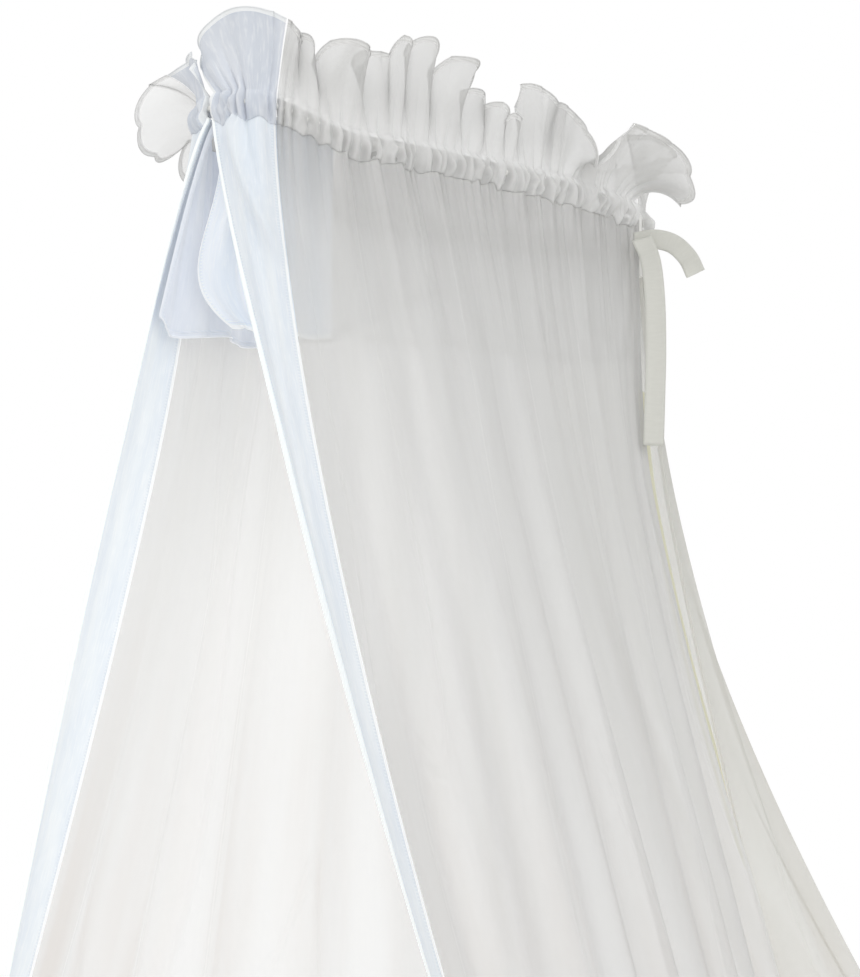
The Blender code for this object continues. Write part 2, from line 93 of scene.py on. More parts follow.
def smooth_through(knots: Sequence[float], values: Sequence[float], at: np.ndarray) -> np.ndarray:
    """A smooth line through points: cubic pieces whose slopes are their neighbours' mean.

    Args:
        knots: rising places.
        values: the line's value at each place.
        at: where to read the line.

    Returns:
        The values at `at`.
    """
    knots = np.asarray(knots, float)
    values = np.asarray(values, float)
    slopes = np.gradient(values, knots)
    place = np.clip(np.searchsorted(knots, at, side="right") - 1, 0, len(knots) - 2)
    step = knots[place + 1] - knots[place]
    t = (at - knots[place]) / step
    keep = (1 + 2 * t) * (1 - t) ** 2
    take = t * t * (3 - 2 * t)
    leave = t * (1 - t) ** 2 * step
    arrive = t * t * (t - 1) * step
    return (keep * values[place] + take * values[place + 1]
            + leave * slopes[place] + arrive * slopes[place + 1])


def wavering(at: np.ndarray, low: float, high: float, seed: int, count: int = 5) -> np.ndarray:
    """An uneven ripple: the sum of sines whose waves per unit are spread from low to high.

    Args:
        at: where to read it.
        low: fewest waves per unit.
        high: most waves per unit.
        seed: another number gives another ripple.
        count: number of sines.

    Returns:
        Values that lie mostly between -1 and 1.
    """
    total = np.zeros_like(np.asarray(at, float))
    for index in range(count):
        waves = low + (high - low) * (((index + 1) * GOLDEN + seed * 0.37) % 1.0)
        total = total + np.sin(2 * np.pi * (at * waves + (seed * 1.7 + index * 2.3) * GOLDEN))
    return total / np.sqrt(count) / 1.2


def tucks(at: np.ndarray, count: float, seed: int) -> np.ndarray:
    """Small uneven gathers: rounded crests with sharp valleys between them, a power of the
    absolute sine of a place whose pace wavers, with a height that wavers too.

    Args:
        at: where to read them.
        count: tucks per unit.
        seed: another number gives another row of tucks.

    Returns:
        Values from about -1 in the valleys to 1 on the crests.
    """
    phase = np.pi * count * at + 1.1 * wavering(at, count * 0.12, count * 0.33, seed)
    height = 0.75 + 0.25 * wavering(at, count * 0.2, count * 0.5, seed + 4)
    return (2 * np.abs(np.sin(phase)) ** 0.7 - 1.2) * height


def spans(widths: Sequence[float], at: np.ndarray) -> tuple[np.ndarray, ...]:
    """Which of a row of spans, scaled to end at 1, each place falls in.

    Args:
        widths: the spans' widths.
        at: places from 0 to 1.

    Returns:
        The span's number, its scaled width, and how far along it the place is, 0 to 1.
    """
    ends = np.concatenate([[0.0], np.cumsum(widths)])
    ends /= ends[-1]
    span = np.clip(np.searchsorted(ends, at, side="right") - 1, 0, len(widths) - 1)
    width = ends[span + 1] - ends[span]
    return span, width, (at - ends[span]) / width


def outward(place: Callable[..., np.ndarray], share: np.ndarray, *more: object) -> np.ndarray:
    """Level unit vectors that point out of the line that `place` draws round the canopy.

    Args:
        place: gives the line's points at shares of the hoop.
        share: where to take the direction.
        more: what else `place` takes.

    Returns:
        The vectors.
    """
    across = place(share + NORMAL_STEP, *more) - place(share - NORMAL_STEP, *more)
    size = np.hypot(across[..., 0], across[..., 1])
    return np.stack([across[..., 1] / size, -across[..., 0] / size, np.zeros_like(size)], -1)


@dataclass(frozen=True)
class HoopLine:
    """The middle of the hoop's wire, a squarish oval whose front is bent up."""

    length: float = 0.526
    width: float = 0.190
    squareness: float = 2.4      # the power of the oval: 2 is an ellipse
    wire: float = 0.006
    rise: float = 0.032          # of the bent-up front
    reach: float = 0.110         # from the front to where the bend starts
    stem: float = 0.060
    slit_share: float = 0.430
    samples: int = 2000

    @cached_property
    def table(self) -> tuple[float, np.ndarray, np.ndarray, np.ndarray]:
        """The perimeter, then shares of it with their x and y, from the front over the
        near side: each coordinate is a power of the sine or cosine, measured by length.

        Returns:
            The perimeter, the shares, and their x and y.
        """
        turn = np.linspace(0.0, 2 * np.pi, self.samples + 1)
        power = 2.0 / self.squareness
        sine, cosine = np.sin(turn), np.cos(turn)
        x = self.width / 2 * np.sign(sine) * np.abs(sine) ** power
        y = -self.length / 2 * np.sign(cosine) * np.abs(cosine) ** power
        run = np.concatenate([[0.0], np.cumsum(np.hypot(np.diff(x), np.diff(y)))])
        return run[-1], run / run[-1], x, y

    @property
    def perimeter(self) -> float:
        """The wire's length."""
        return self.table[0]

    def local(self, share: np.ndarray) -> np.ndarray:
        """Points of the wire at shares of the way round, from the hoop's middle.

        Args:
            share: of the way round, from the front over the near side.

        Returns:
            The points.
        """
        x = np.interp(share % 1.0, self.table[1], self.table[2])
        y = np.interp(share % 1.0, self.table[1], self.table[3])
        rise = self.rise * ease(1 - (y + self.length / 2) / self.reach)
        return np.stack([x, y, rise], -1)

    @cached_property
    def middle(self) -> np.ndarray:
        """The hoop's middle, where the stem under the slit starts at the origin."""
        top = self.local(np.array(self.slit_share))
        return np.array([-top[0], -top[1], self.stem + TOUCH_GAP + self.wire / 2 - top[2]])

    def at(self, share: np.ndarray) -> np.ndarray:
        """Points of the wire in the model's frame."""
        return self.local(share) + self.middle


class Station(NamedTuple):
    """A place round the canopy: its share of the hoop, where the net is at the spread
    depth, and how it falls there (1 slopes, more hangs first and flares later)."""

    share: float
    x: float
    y: float
    hang: float


class Fold(NamedTuple):
    """One long fold of the net: its share of the width, and its depth."""

    width: float
    depth: float


@dataclass(frozen=True)
class NetShape:
    """The surface in which the net hangs. Cloths inside it follow it with an inset."""

    hoop: HoopLine = field(default_factory=HoopLine)
    stations: tuple[Station, ...] = (
        Station(0.003, 0.280, -0.160, 1.24), Station(0.060, 0.368, -0.210, 1.46),
        Station(0.120, 0.375, -0.130, 1.10), Station(0.250, 0.330, 0.060, 1.20),
        Station(0.360, 0.275, 0.195, 1.40), Station(0.430, 0.230, 0.305, 1.55),
        Station(0.490, 0.190, 0.565, 1.90), Station(0.560, 0.000, 0.620, 1.80),
        Station(0.680, -0.250, 0.380, 1.30), Station(0.800, -0.310, 0.020, 1.10),
        Station(0.930, -0.272, -0.312, 1.40), Station(0.996, -0.156, -0.411, 0.79),
    )
    folds: tuple[Fold, ...] = (
        Fold(5.0, 0.010), Fold(3.0, 0.016), Fold(4.0, 0.020), Fold(2.6, 0.014),
        Fold(3.4, 0.022), Fold(4.4, 0.018), Fold(2.8, 0.020), Fold(3.6, 0.015),
        Fold(2.4, 0.017), Fold(2.2, 0.012),
        Fold(2.4, 0.018), Fold(3.4, 0.034), Fold(3.0, 0.028), Fold(4.2, 0.036),
        Fold(2.6, 0.026), Fold(3.8, 0.032), Fold(3.0, 0.024), Fold(4.0, 0.034),
        Fold(2.8, 0.028), Fold(3.6, 0.022), Fold(5.0, 0.012),
    )
    top: float = 0.0135          # below the wire's middle
    hem_depth: float = 1.480
    spread_depth: float = 0.950
    fold_start: float = 0.22     # part of a fold's depth at the casing
    fold_full: float = 0.750     # depth at which it is whole
    fold_in: float = 0.006       # how far the folds' valleys come inwards
    fold_in_full: float = 0.300
    gathers: int = 34
    gather_depth: float = 0.0030
    gather_length: float = 0.220
    slit_depth: float = 0.640
    slit_top_gap: float = 0.024
    slit_middle_gap: float = 0.056
    slit_top_end: float = 0.62
    slit_middle_start: float = 0.45
    slit_fullness: float = 0.8
    slit_near_part: float = 0.75
    slit_spread: float = 0.05
    tuck_count: float = 118.0    # small gathers round the hoop
    tuck_depth: float = 0.0036   # their depth just under the casing
    tuck_length: float = 0.060
    ripple_depth: float = 0.0028  # the ripples that they run into
    ripple_length: float = 0.180
    crease_depth: float = 0.0020  # soft creases between the long folds

    def share_at(self, around: np.ndarray) -> np.ndarray:
        """The share of the hoop under a place round the cloth (0 near edge, 1 far edge)."""
        first, last = self.stations[0].share, self.stations[-1].share
        return first + around * (last - first)

    @property
    def slit_around(self) -> float:
        """The slit's place on that scale."""
        first, last = self.stations[0].share, self.stations[-1].share
        return (self.hoop.slit_share - first) / (last - first)

    def line(self, share: np.ndarray, depth: np.ndarray, follow: np.ndarray) -> np.ndarray:
        """Where the cloth hangs before its folds: from the wire out to the stations'
        outline by a power of the depth, then on with an easing slope to the hem.

        Args:
            share: of the hoop.
            depth: below the casing.
            follow: the part of the net's slope that is taken.

        Returns:
            Points from the hoop's middle.
        """
        shares = [station.share for station in self.stations]
        out_x, out_y, hang = (
            smooth_through(shares, [getattr(station, name) for station in self.stations], share)
            for name in ("x", "y", "hang"))
        wire = self.hoop.local(share)
        sloped = np.clip(depth / self.spread_depth, 0.0, 1.0) ** hang
        below = np.clip((depth - self.spread_depth) / (self.hem_depth - self.spread_depth), 0, 1)
        growth = self.hem_depth / self.spread_depth - 1
        reach = (sloped + hang * below * (1 - below + below ** 2 / 3) * growth) * follow
        return np.stack([
            wire[..., 0] + (out_x - wire[..., 0]) * reach,
            wire[..., 1] + (out_y - wire[..., 1]) * reach,
            wire[..., 2] * (1 - depth / self.hem_depth) - self.top - depth], -1)

    def fold_line(self, around: np.ndarray) -> np.ndarray:
        """A raised cosine over each fold's width, as deep as the fold."""
        place, _, phase = spans([fold.width for fold in self.folds], around)
        return np.array([fold.depth for fold in self.folds])[place] * (
            1 - np.cos(2 * np.pi * phase)) / 2

    def slit_opening(self, depth: np.ndarray, panel: Panel) -> np.ndarray:
        """How far one edge of the slit gives way: half a closing top gap plus its part of
        a sine-shaped middle gap, most of it on the near side.

        Args:
            depth: below the casing.
            panel: the side of the slit.

        Returns:
            The distance, along the cloth.
        """
        down = np.clip(depth / self.slit_depth, 0.0, 1.0)
        top = self.slit_top_gap * (1 - ease(down / self.slit_top_end))
        middle = self.slit_middle_gap * (
            np.sin(np.pi * down ** self.slit_fullness) ** self.slit_fullness)
        part = self.slit_near_part if panel is Panel.NEAR else 1 - self.slit_near_part
        return top / 2 + middle * part * ease(down / self.slit_middle_start)

    def ripples(self, around: np.ndarray, depth: np.ndarray) -> np.ndarray:
        """Tucks close under the casing, which merge into ripples and then soft creases:
        three uneven waves, each coarser and reaching further down than the last.

        Args:
            around: 0 at the near front edge to 1 at the far one.
            depth: below the casing.

        Returns:
            How far they push the cloth out.
        """
        down = np.maximum(depth, 0.0)
        small = self.tuck_depth * tucks(self.share_at(around), self.tuck_count, 3) * np.exp(
            -down / self.tuck_length)
        ripples = self.ripple_depth * wavering(around, 34, 66, 5) * np.exp(
            -down / self.ripple_length)
        creases = self.crease_depth * wavering(around, 17, 30, 9) * ease(down / 0.30)
        return small + ripples + creases

    def surface(self, around: np.ndarray, depth: np.ndarray, panel: Panel,
                follow: np.ndarray | float = 1.0, inset: np.ndarray | float = 0.0) -> np.ndarray:
        """Points of the cloth: the hanging line pushed out by folds, gathers and ripples,
        and along itself to open the slit.

        Args:
            around: 0 at the near front edge to 1 at the far one.
            depth: below the casing.
            panel: the side of the slit.
            follow: the part of the net's slope that the cloth takes.
            inset: how far inside the net the cloth hangs.

        Returns:
            Points in the model's frame.
        """
        share = self.share_at(around)
        normal = outward(self.line, share, depth, follow)
        grown = self.fold_start + (1 - self.fold_start) * ease(depth / self.fold_full)
        folds = self.fold_line(around) * grown - self.fold_in * ease(depth / self.fold_in_full)
        gathers = self.gather_depth * np.sin(2 * np.pi * self.gathers * around) * ease(
            1 - depth / self.gather_length)
        push = folds + gathers + self.ripples(around, depth) - inset
        apart = np.abs(share - self.hoop.slit_share) / self.slit_spread
        open_by = self.slit_opening(depth, panel) * np.exp(-apart) * panel.value
        along = np.stack([-normal[..., 1], normal[..., 0], np.zeros_like(open_by)], -1)
        return (self.line(share, depth, follow) + normal * push[..., None]
                + along * open_by[..., None] + self.hoop.middle)


# ---------------------------------------------------------------- meshes

@dataclass
class ClothGrid:
    """A grid of points with what its material reads: flat lengths, the distance to the
    nearest hemmed edge, where it is warmer, and where painted shade darkens it, tinted or plain."""

    points: np.ndarray
    flat_u: np.ndarray
    flat_v: np.ndarray
    edge: np.ndarray
    warm: np.ndarray | float = 0.0
    # painted shade, tinted: how far the colour turns to the shade colour
    shade_tint: np.ndarray | float = 0.0
    shade: np.ndarray | float = 0.0

    @property
    def gathered(self) -> np.ndarray:
        """Flat width over hanging width, smoothed a little along each row."""
        hung = np.linalg.norm(np.gradient(self.points, axis=1), axis=-1)
        flat = np.gradient(self.flat_u, axis=1)
        kernel = np.array([1, 2, 3, 2, 1]) / 9
        padded = np.pad(hung, ((0, 0), (2, 2)), mode="edge")
        smooth = sum(padded[:, i:i + hung.shape[1]] * kernel[i] for i in range(5))
        return np.clip(flat / np.maximum(smooth, 1e-5), 0.5, 4.0)


def unit(vectors: np.ndarray) -> np.ndarray:
    """The vectors at length 1."""
    return vectors / np.linalg.norm(vectors, axis=-1, keepdims=True)


def running(points: np.ndarray, axis: int) -> np.ndarray:
    """Distance along the grid from its first row or column.

    Args:
        points: a grid of points.
        axis: 0 down the columns, 1 along the rows.

    Returns:
        The distance at each point.
    """
    steps = np.linalg.norm(np.diff(points, axis=axis), axis=-1)
    pad = [(0, 0), (0, 0)]
    pad[axis] = (1, 0)
    return np.cumsum(np.pad(steps, pad), axis=axis)


def cloth_mesh(name: str, grids: Sequence[ClothGrid], merge: bool = False) -> bpy.types.Object:
    """An open sheet from one or more grids, smooth-shaded, with UVs in metres.

    Args:
        name: the piece's name.
        grids: the sheet's grids.
        merge: joins grids where their edges coincide.

    Returns:
        The new object.
    """
    points, faces, uvs, start = [], [], [], 0
    carried = {key: [] for key in ("edge", "gathered", "warm", "shade_tint", "shade")}
    for grid in grids:
        rows, columns = grid.points.shape[:2]
        index = np.arange(rows * columns).reshape(rows, columns) + start
        faces.append(np.stack([index[:-1, :-1], index[1:, :-1], index[1:, 1:], index[:-1, 1:]],
                              -1).reshape(-1, 4))
        points.append(grid.points.reshape(-1, 3))
        uvs.append(np.stack([grid.flat_u, grid.flat_v], -1).reshape(-1, 2))
        for key, values in carried.items():
            values.append(np.broadcast_to(getattr(grid, key), (rows, columns)).ravel())
        start += rows * columns
    made = raw_mesh(name, np.concatenate(points), np.concatenate(faces), np.concatenate(uvs))
    for key, values in carried.items():
        layer = made.data.attributes.new(key, "FLOAT", "POINT")
        layer.data.foreach_set("value", np.concatenate(values).astype(np.float32))
    if merge:
        weld(made.data, 0.00002)
    made.data.shade_smooth()
    return made


def weld(mesh: bpy.types.Mesh, within: float, turn_out: bool = False) -> None:
    """Joins points of a mesh that lie together.

    Args:
        mesh: the mesh to change.
        within: the distance under which points are joined.
        turn_out: also turns all faces outwards.
    """
    joined = bmesh.new()
    joined.from_mesh(mesh)
    bmesh.ops.remove_doubles(joined, verts=joined.verts, dist=within)
    if turn_out:
        bmesh.ops.recalc_face_normals(joined, faces=joined.faces)
    joined.to_mesh(mesh)
    joined.free()


def raw_mesh(name: str, points: np.ndarray, faces: np.ndarray, uvs: np.ndarray) -> bpy.types.Object:
    """An object from arrays of points, four-cornered faces and the points' UVs.

    Args:
        name: the object's name.
        points: one row a point.
        faces: one row a face, of its points' numbers.
        uvs: one row a point.

    Returns:
        The new object.
    """
    mesh = bpy.data.meshes.new(name)
    mesh.vertices.add(len(points))
    mesh.vertices.foreach_set("co", points.astype(np.float32).ravel())
    mesh.loops.add(faces.size)
    mesh.loops.foreach_set("vertex_index", faces.astype(np.int32).ravel())
    mesh.polygons.add(len(faces))
    mesh.polygons.foreach_set("loop_start", np.arange(0, faces.size, 4, dtype=np.int32))
    mesh.polygons.foreach_set("loop_total", np.full(len(faces), 4, dtype=np.int32))
    mesh.update(calc_edges=True)
    layer = mesh.uv_layers.new(name="UVMap")
    layer.data.foreach_set("uv", uvs[faces.ravel()].astype(np.float32).ravel())
    made = bpy.data.objects.new(name, mesh)
    bpy.context.scene.collection.objects.link(made)
    return made


def rolled(points: np.ndarray, radius: float) -> np.ndarray:
    """Rows that roll the sheet's last row into a hem: circle points in the plane of the
    sheet's own direction and its normal.

    Args:
        points: the sheet's grid.
        radius: the roll's radius.

    Returns:
        The grid with the roll's rows added.
    """
    down = unit(points[-1] - points[-2])
    side = unit(np.cross(np.gradient(points[-1], axis=0), down))
    angles = np.radians(np.asarray(HEM_TURNS))[:, None, None]
    return np.concatenate([points, points[-1] + radius * (
        np.sin(angles) * down + (1 - np.cos(angles)) * side)])


def tube(name: str, line: np.ndarray, radius: np.ndarray, out: np.ndarray,
         sides: int = 10) -> bpy.types.Object:
    """A round tube along a line: circle points in the plane of `out` and its normal, with
    rows that close each end to a point.

    Args:
        name: the piece's name.
        line: points along the middle.
        radius: of the tube at each point.
        out: a direction per point, not along the line.
        sides: points round the tube.

    Returns:
        The new object.
    """
    run = unit(np.gradient(line, axis=0))
    across = unit(np.cross(run, out))
    out = np.cross(across, run)
    turn = np.linspace(0, 2 * np.pi, sides, endpoint=False)
    rings = (line[:, None] + radius[:, None, None] * (
        np.cos(turn)[None, :, None] * across[:, None] + np.sin(turn)[None, :, None] * out[:, None]))
    caps = [line[0] - run[0] * radius[0] * 0.5, line[-1] + run[-1] * radius[-1] * 0.5]
    rings = np.concatenate([np.broadcast_to(caps[0], (1, sides, 3)), rings,
                            np.broadcast_to(caps[1], (1, sides, 3))])
    rows = len(rings)
    index = np.arange(rows * sides).reshape(rows, sides)
    after = np.roll(index, -1, axis=1)
    faces = np.stack([index[:-1], after[:-1], after[1:], index[1:]], -1).reshape(-1, 4)
    length = running(rings[:, :1], 0)[:, 0]
    uvs = np.stack(np.broadcast_arrays(turn[None] * radius.mean(), length[:, None]), -1)
    uvs = uvs.reshape(-1, 2)
    made = raw_mesh(name, rings.reshape(-1, 3), faces, uvs)
    weld(made.data, 0.00001, turn_out=True)
    made.data.shade_smooth()
    return made


# ---------------------------------------------------------------- shader maths

class Value:
    """A shader socket that numbers can be added to, multiplied with and so on."""

    def __init__(self, graph: "Graph", socket: bpy.types.NodeSocket) -> None:
        """Wraps a socket of the graph."""
        self.graph, self.socket = graph, socket

    def maths(self, operation: str, *others: "Value | float", swap: bool = False) -> "Value":
        """A Math node on this value and the others, or the others first if swapped."""
        terms = [*others, self] if swap else [self, *others]
        return self.graph.node("ShaderNodeMath", {"operation": operation},
                               dict(enumerate(terms)))

    def __add__(self, other: "Value | float") -> "Value":
        """self + other"""
        return self.maths("ADD", other)

    __radd__ = __add__

    def __sub__(self, other: "Value | float") -> "Value":
        """self - other"""
        return self.maths("SUBTRACT", other)

    def __rsub__(self, other: "Value | float") -> "Value":
        """other - self"""
        return self.maths("SUBTRACT", other, swap=True)

    def __mul__(self, other: "Value | float") -> "Value":
        """self * other"""
        return self.maths("MULTIPLY", other)

    __rmul__ = __mul__

    def __pow__(self, other: "Value | float") -> "Value":
        """self ** other"""
        return self.maths("POWER", other)

    def __rpow__(self, other: "Value | float") -> "Value":
        """other ** self"""
        return self.maths("POWER", other, swap=True)

    def sine(self) -> "Value":
        """The sine of this value in radians."""
        return self.maths("SINE")

    def step(self, start: float, end: float) -> "Value":
        """Eased from 0 at start to 1 at end; start may be the larger.

        Args:
            start: where it is 0.
            end: where it is 1.

        Returns:
            The eased value.
        """
        kind = {"interpolation_type": "SMOOTHSTEP", "clamp": True}
        low, high, first, last = (start, end, 0.0, 1.0) if start < end else (end, start, 1.0, 0.0)
        return self.graph.node("ShaderNodeMapRange", kind, {
            "Value": self, "From Min": low, "From Max": high, "To Min": first, "To Max": last})

    def limited(self, low: float = 0.0, high: float = 1.0) -> "Value":
        """This value held between low and high."""
        return self.maths("MAXIMUM", low).maths("MINIMUM", high)


class Graph:
    """The nodes of one material."""

    SEAM_WIDTH: float = 0.0008   # of a row of stitches

    def __init__(self, name: str) -> None:
        """Makes a material with a Principled shader.

        Args:
            name: the material's name.
        """
        self.material = bpy.data.materials.new(name)
        self.material.use_nodes = True
        self.tree = self.material.node_tree
        self.shader = self.tree.nodes["Principled BSDF"]

    def node(self, kind: str, settings: dict | None = None, sockets: dict | None = None,
             out: int | str = 0) -> Value:
        """Adds a node.

        Args:
            kind: the node's type.
            settings: its own settings, set first.
            sockets: values or links of its inputs, by name or number.
            out: the output that is wanted.

        Returns:
            That output.
        """
        made = self.tree.nodes.new(kind)
        for name, value in (settings or {}).items():
            setattr(made, name, value)
        for name, value in (sockets or {}).items():
            self.put(made.inputs[name], value)
        return Value(self, made.outputs[out])

    def put(self, target: bpy.types.NodeSocket, value: object) -> None:
        """Links or sets one input."""
        if isinstance(value, Value):
            self.tree.links.new(value.socket, target)
        else:
            target.default_value = value

    def finish(self, **sockets: object) -> bpy.types.Material:
        """Sets the shader's inputs, with _ for a space in their names."""
        for name, value in sockets.items():
            self.put(self.shader.inputs[name.replace("_", " ")], value)
        return self.material

    def attribute(self, name: str) -> Value:
        """A number that the mesh carries at its points."""
        return self.node("ShaderNodeAttribute", {"attribute_name": name}, out="Fac")

    def flat(self) -> tuple[Value, Value, Value]:
        """The cloth's UV map in metres: as a vector, its u and its v.

        Returns:
            The vector, u and v.
        """
        vector = self.node("ShaderNodeUVMap", {"uv_map": "UVMap"})
        parts = [self.node("ShaderNodeSeparateXYZ", sockets={0: vector}, out=i) for i in (0, 1)]
        return vector, parts[0], parts[1]

    def noise(self, vector: Value, scale: tuple[float, float, float], detail: float = 2.0,
              roughness: float = 0.5) -> Value:
        """Noise from 0 to 1, with its own number of grains per metre each way."""
        placed = self.node("ShaderNodeMapping", sockets={"Vector": vector, "Scale": scale})
        return self.node("ShaderNodeTexNoise", sockets={
            "Vector": placed, "Scale": 1.0, "Detail": detail, "Roughness": roughness})

    def blend(self, amount: Value | float, first: object, second: object) -> Value:
        """A colour between two, by amount."""
        return self.node("ShaderNodeMix", {"data_type": "RGBA"},
                         {0: amount, 6: first, 7: second}, out=2)

    def weave(self, u: Value, v: Value, yarn: float) -> Value:
        """A plain weave: the sine across times the sine along, a yarn to a wave."""
        turn = 2 * np.pi / yarn
        return (u * turn).sine() * (v * turn).sine()

    def sewn(self, along: Value, hem: float, soft: float, row: float,
             stitch: float) -> tuple[Value, Value, Value]:
        """A hem and its stitches: steps of the distance to the edge and of a sine.

        Args:
            along: the length along the cloth.
            hem: the hem's width.
            soft: how far the hem's end is blurred.
            row: from the hem's end to the row of stitches.
            stitch: the stitches' pitch.

        Returns:
            The hem's mask, the seam's line and the stitches on that line.
        """
        edge = self.attribute("edge")
        mask = edge.step(hem + soft, hem)
        seam = edge.step(hem - row, hem - row + self.SEAM_WIDTH) * mask
        return mask, seam, seam * (along * (2 * np.pi / stitch)).sine().step(-0.2, 0.2)

    def bump(self, height: Value, distance: float, strength: float = 1.0) -> Value:
        """A normal from a height, in metres times distance."""
        return self.node("ShaderNodeBump", sockets={
            "Strength": strength, "Distance": distance, "Height": height})


Colour = tuple[float, float, float]


def paint(colour: Colour) -> tuple[float, float, float, float]:
    """An sRGB colour of 0 to 255 as linear light with alpha 1.

    Args:
        colour: red, green and blue.

    Returns:
        Linear red, green, blue and alpha.
    """
    part = np.array(colour) / 255.0
    light = np.where(part <= 0.04045, part / 12.92, ((part + 0.055) / 1.055) ** 2.4)
    return (*(float(x) for x in light), 1.0)


# ---------------------------------------------------------------- finishes

@dataclass(frozen=True)
class SheerNet:
    """Fine voile: the share of light that it stops grows where it is gathered, hemmed or
    sewn; its yarns run down the cloth."""

    name: str = "sheer_net"
    colour: Colour = (246, 246, 245)
    warm: Colour = (228, 218, 210)
    # The colour of painted shade, olive by default, laid on where the mesh's attribute of the same
    # name asks for it.
    shade_tint: Colour = (204, 202, 182)
    # Painted highlight: the hem turns whiter, as if it catches the light; the next line says how
    # far.
    hem_highlight_colour: Colour = (248, 248, 247)
    hem_highlight: float = 0.0       # how far the hem turns to that colour
    shaded: Colour = (204, 203, 201)   # where close gathers shade each other
    cover: float = 0.46          # of one flat layer
    most_cover: float = 0.97
    most_gathered: float = 1.9   # layers that count where the cloth is gathered
    plain: float = 0.83          # layers in one, and what slubs and so on add to it
    slub_layers: float = 0.06
    broad_layers: float = 0.30
    hem_layers: float = 1.1
    crease_layers: float = 0.22
    thread: Colour = (214, 214, 212)
    hem: float = 0.010
    yarn: float = 0.0012
    stitch: float = 0.0030
    relief: float = 0.0006       # the depth of the bump's unit
    roughness: float = 0.9

    def material(self) -> bpy.types.Material:
        """Cover is 1 less the clear share to the power of the gathering, plus the hem's
        second layer and thin creases where a stretched noise crosses its middle; bump is
        the weave and the slubs along the yarns.

        Returns:
            The new material.
        """
        graph = Graph(self.name)
        vector, u, v = graph.flat()
        weave = graph.weave(u, v, self.yarn)
        slubs = graph.noise(vector, (180.0, 9.0, 1.0), 3.0)
        broad = graph.noise(vector, (16.0, 1.6, 1.0), 2.0)
        wander = graph.noise(vector, (7.0, 0.9, 1.0), 1.0)
        crease = (wander - 0.5).maths("ABSOLUTE").step(0.010, 0.002)
        hem, seam, stitches = graph.sewn(v, self.hem, 0.0008, 0.0024, self.stitch)
        drawn = graph.attribute("gathered").maths("MINIMUM", self.most_gathered)
        uneven = self.plain + slubs * self.slub_layers + broad * self.broad_layers
        layers = drawn * uneven + hem * self.hem_layers + crease * self.crease_layers
        clear = (1.0 - self.cover) ** layers
        alpha = (1.0 - clear + weave * 0.03 + stitches * 0.10).limited(0.0, self.most_cover)
        tone = graph.blend(graph.attribute("warm") * broad.step(0.35, 0.75),
                           paint(self.colour), paint(self.warm))
        tone = graph.blend(graph.attribute("shade"), tone, paint(self.shaded))
        # painted shade, tinted, where the mesh asks for it
        tone = graph.blend(graph.attribute("shade_tint"), tone, paint(self.shade_tint))
        # painted highlight on the hems
        tone = graph.blend(hem * self.hem_highlight, tone, paint(self.hem_highlight_colour))
        tone = graph.blend(stitches * 0.4, tone, paint(self.thread))
        height = weave * 0.30 + slubs * 0.5 + hem * 0.5 + crease * 0.6 - seam * 0.5
        return graph.finish(Base_Color=tone, Roughness=self.roughness, Alpha=alpha,
                            Normal=graph.bump(height, self.relief), Sheen_Weight=0.15,
                            Specular_IOR_Level=0.2)


@dataclass(frozen=True)
class Cotton:
    """Plain-weave cotton with a stitched hem along its edges and faint creases."""

    name: str = "pale_blue_cotton"
    colour: Colour = (228, 235, 244)
    # The lighter blue on the creases' crests: a painted highlight.
    light: Colour = (240, 244, 249)
    border: Colour = (248, 250, 251)
    painted_glow: float = 0.10          # painted glow, as a share of its colour, that stands in for light coming through the cloth
    border_width: float = 0.0
    hem: float = 0.006
    yarn: float = 0.0009
    stitch: float = 0.0028
    thread: Colour = (196, 208, 224)
    cover: float = 0.96
    hem_cover: float = 0.98
    crease: float = 0.0010       # the creases' depth
    relief: float = 0.0006       # the depth of the bump's unit

    def material(self) -> bpy.types.Material:
        """Colour turns to a lighter blue on the creases' crests, a painted highlight, and to the
        border's at the edge; bump is the weave, creases along the cloth and the sunk line of
        stitches. A painted glow stands in for light that comes through the cloth.

        Returns:
            The new material.
        """
        graph = Graph(self.name)
        vector, u, v = graph.flat()
        weave = graph.weave(u, v, self.yarn)
        creases = graph.noise(vector, (38.0, 9.0, 1.0), 3.0, 0.55)
        slubs = graph.noise(vector, (420.0, 60.0, 1.0), 2.0)
        hem, seam, stitches = graph.sewn(v, self.hem, 0.0006, 0.0022, self.stitch)
        # painted highlight: lighter where the creases stand up
        tone = graph.blend(creases.step(0.30, 0.72), paint(self.colour), paint(self.light))
        tone = graph.blend(slubs.step(0.45, 0.75) * 0.35, tone, paint(self.border))
        tone = graph.blend(stitches * 0.25, tone, paint(self.thread))
        if self.border_width:
            rim = graph.attribute("edge").step(self.border_width + 0.0005, self.border_width)
            tone = graph.blend(rim * 0.9, tone, paint(self.border))
        height = weave * 0.10 + creases * (self.crease / self.relief) + hem * 0.5 - seam * 0.6
        alpha = (self.cover + hem * (self.hem_cover - self.cover)).limited(0.0, 1.0)
        # the emission is painted glow
        return graph.finish(Base_Color=tone, Roughness=0.85, Alpha=alpha,
                            Normal=graph.bump(height, self.relief), Sheen_Weight=0.12,
                            Specular_IOR_Level=0.25, Emission_Color=tone,
                            Emission_Strength=self.painted_glow)


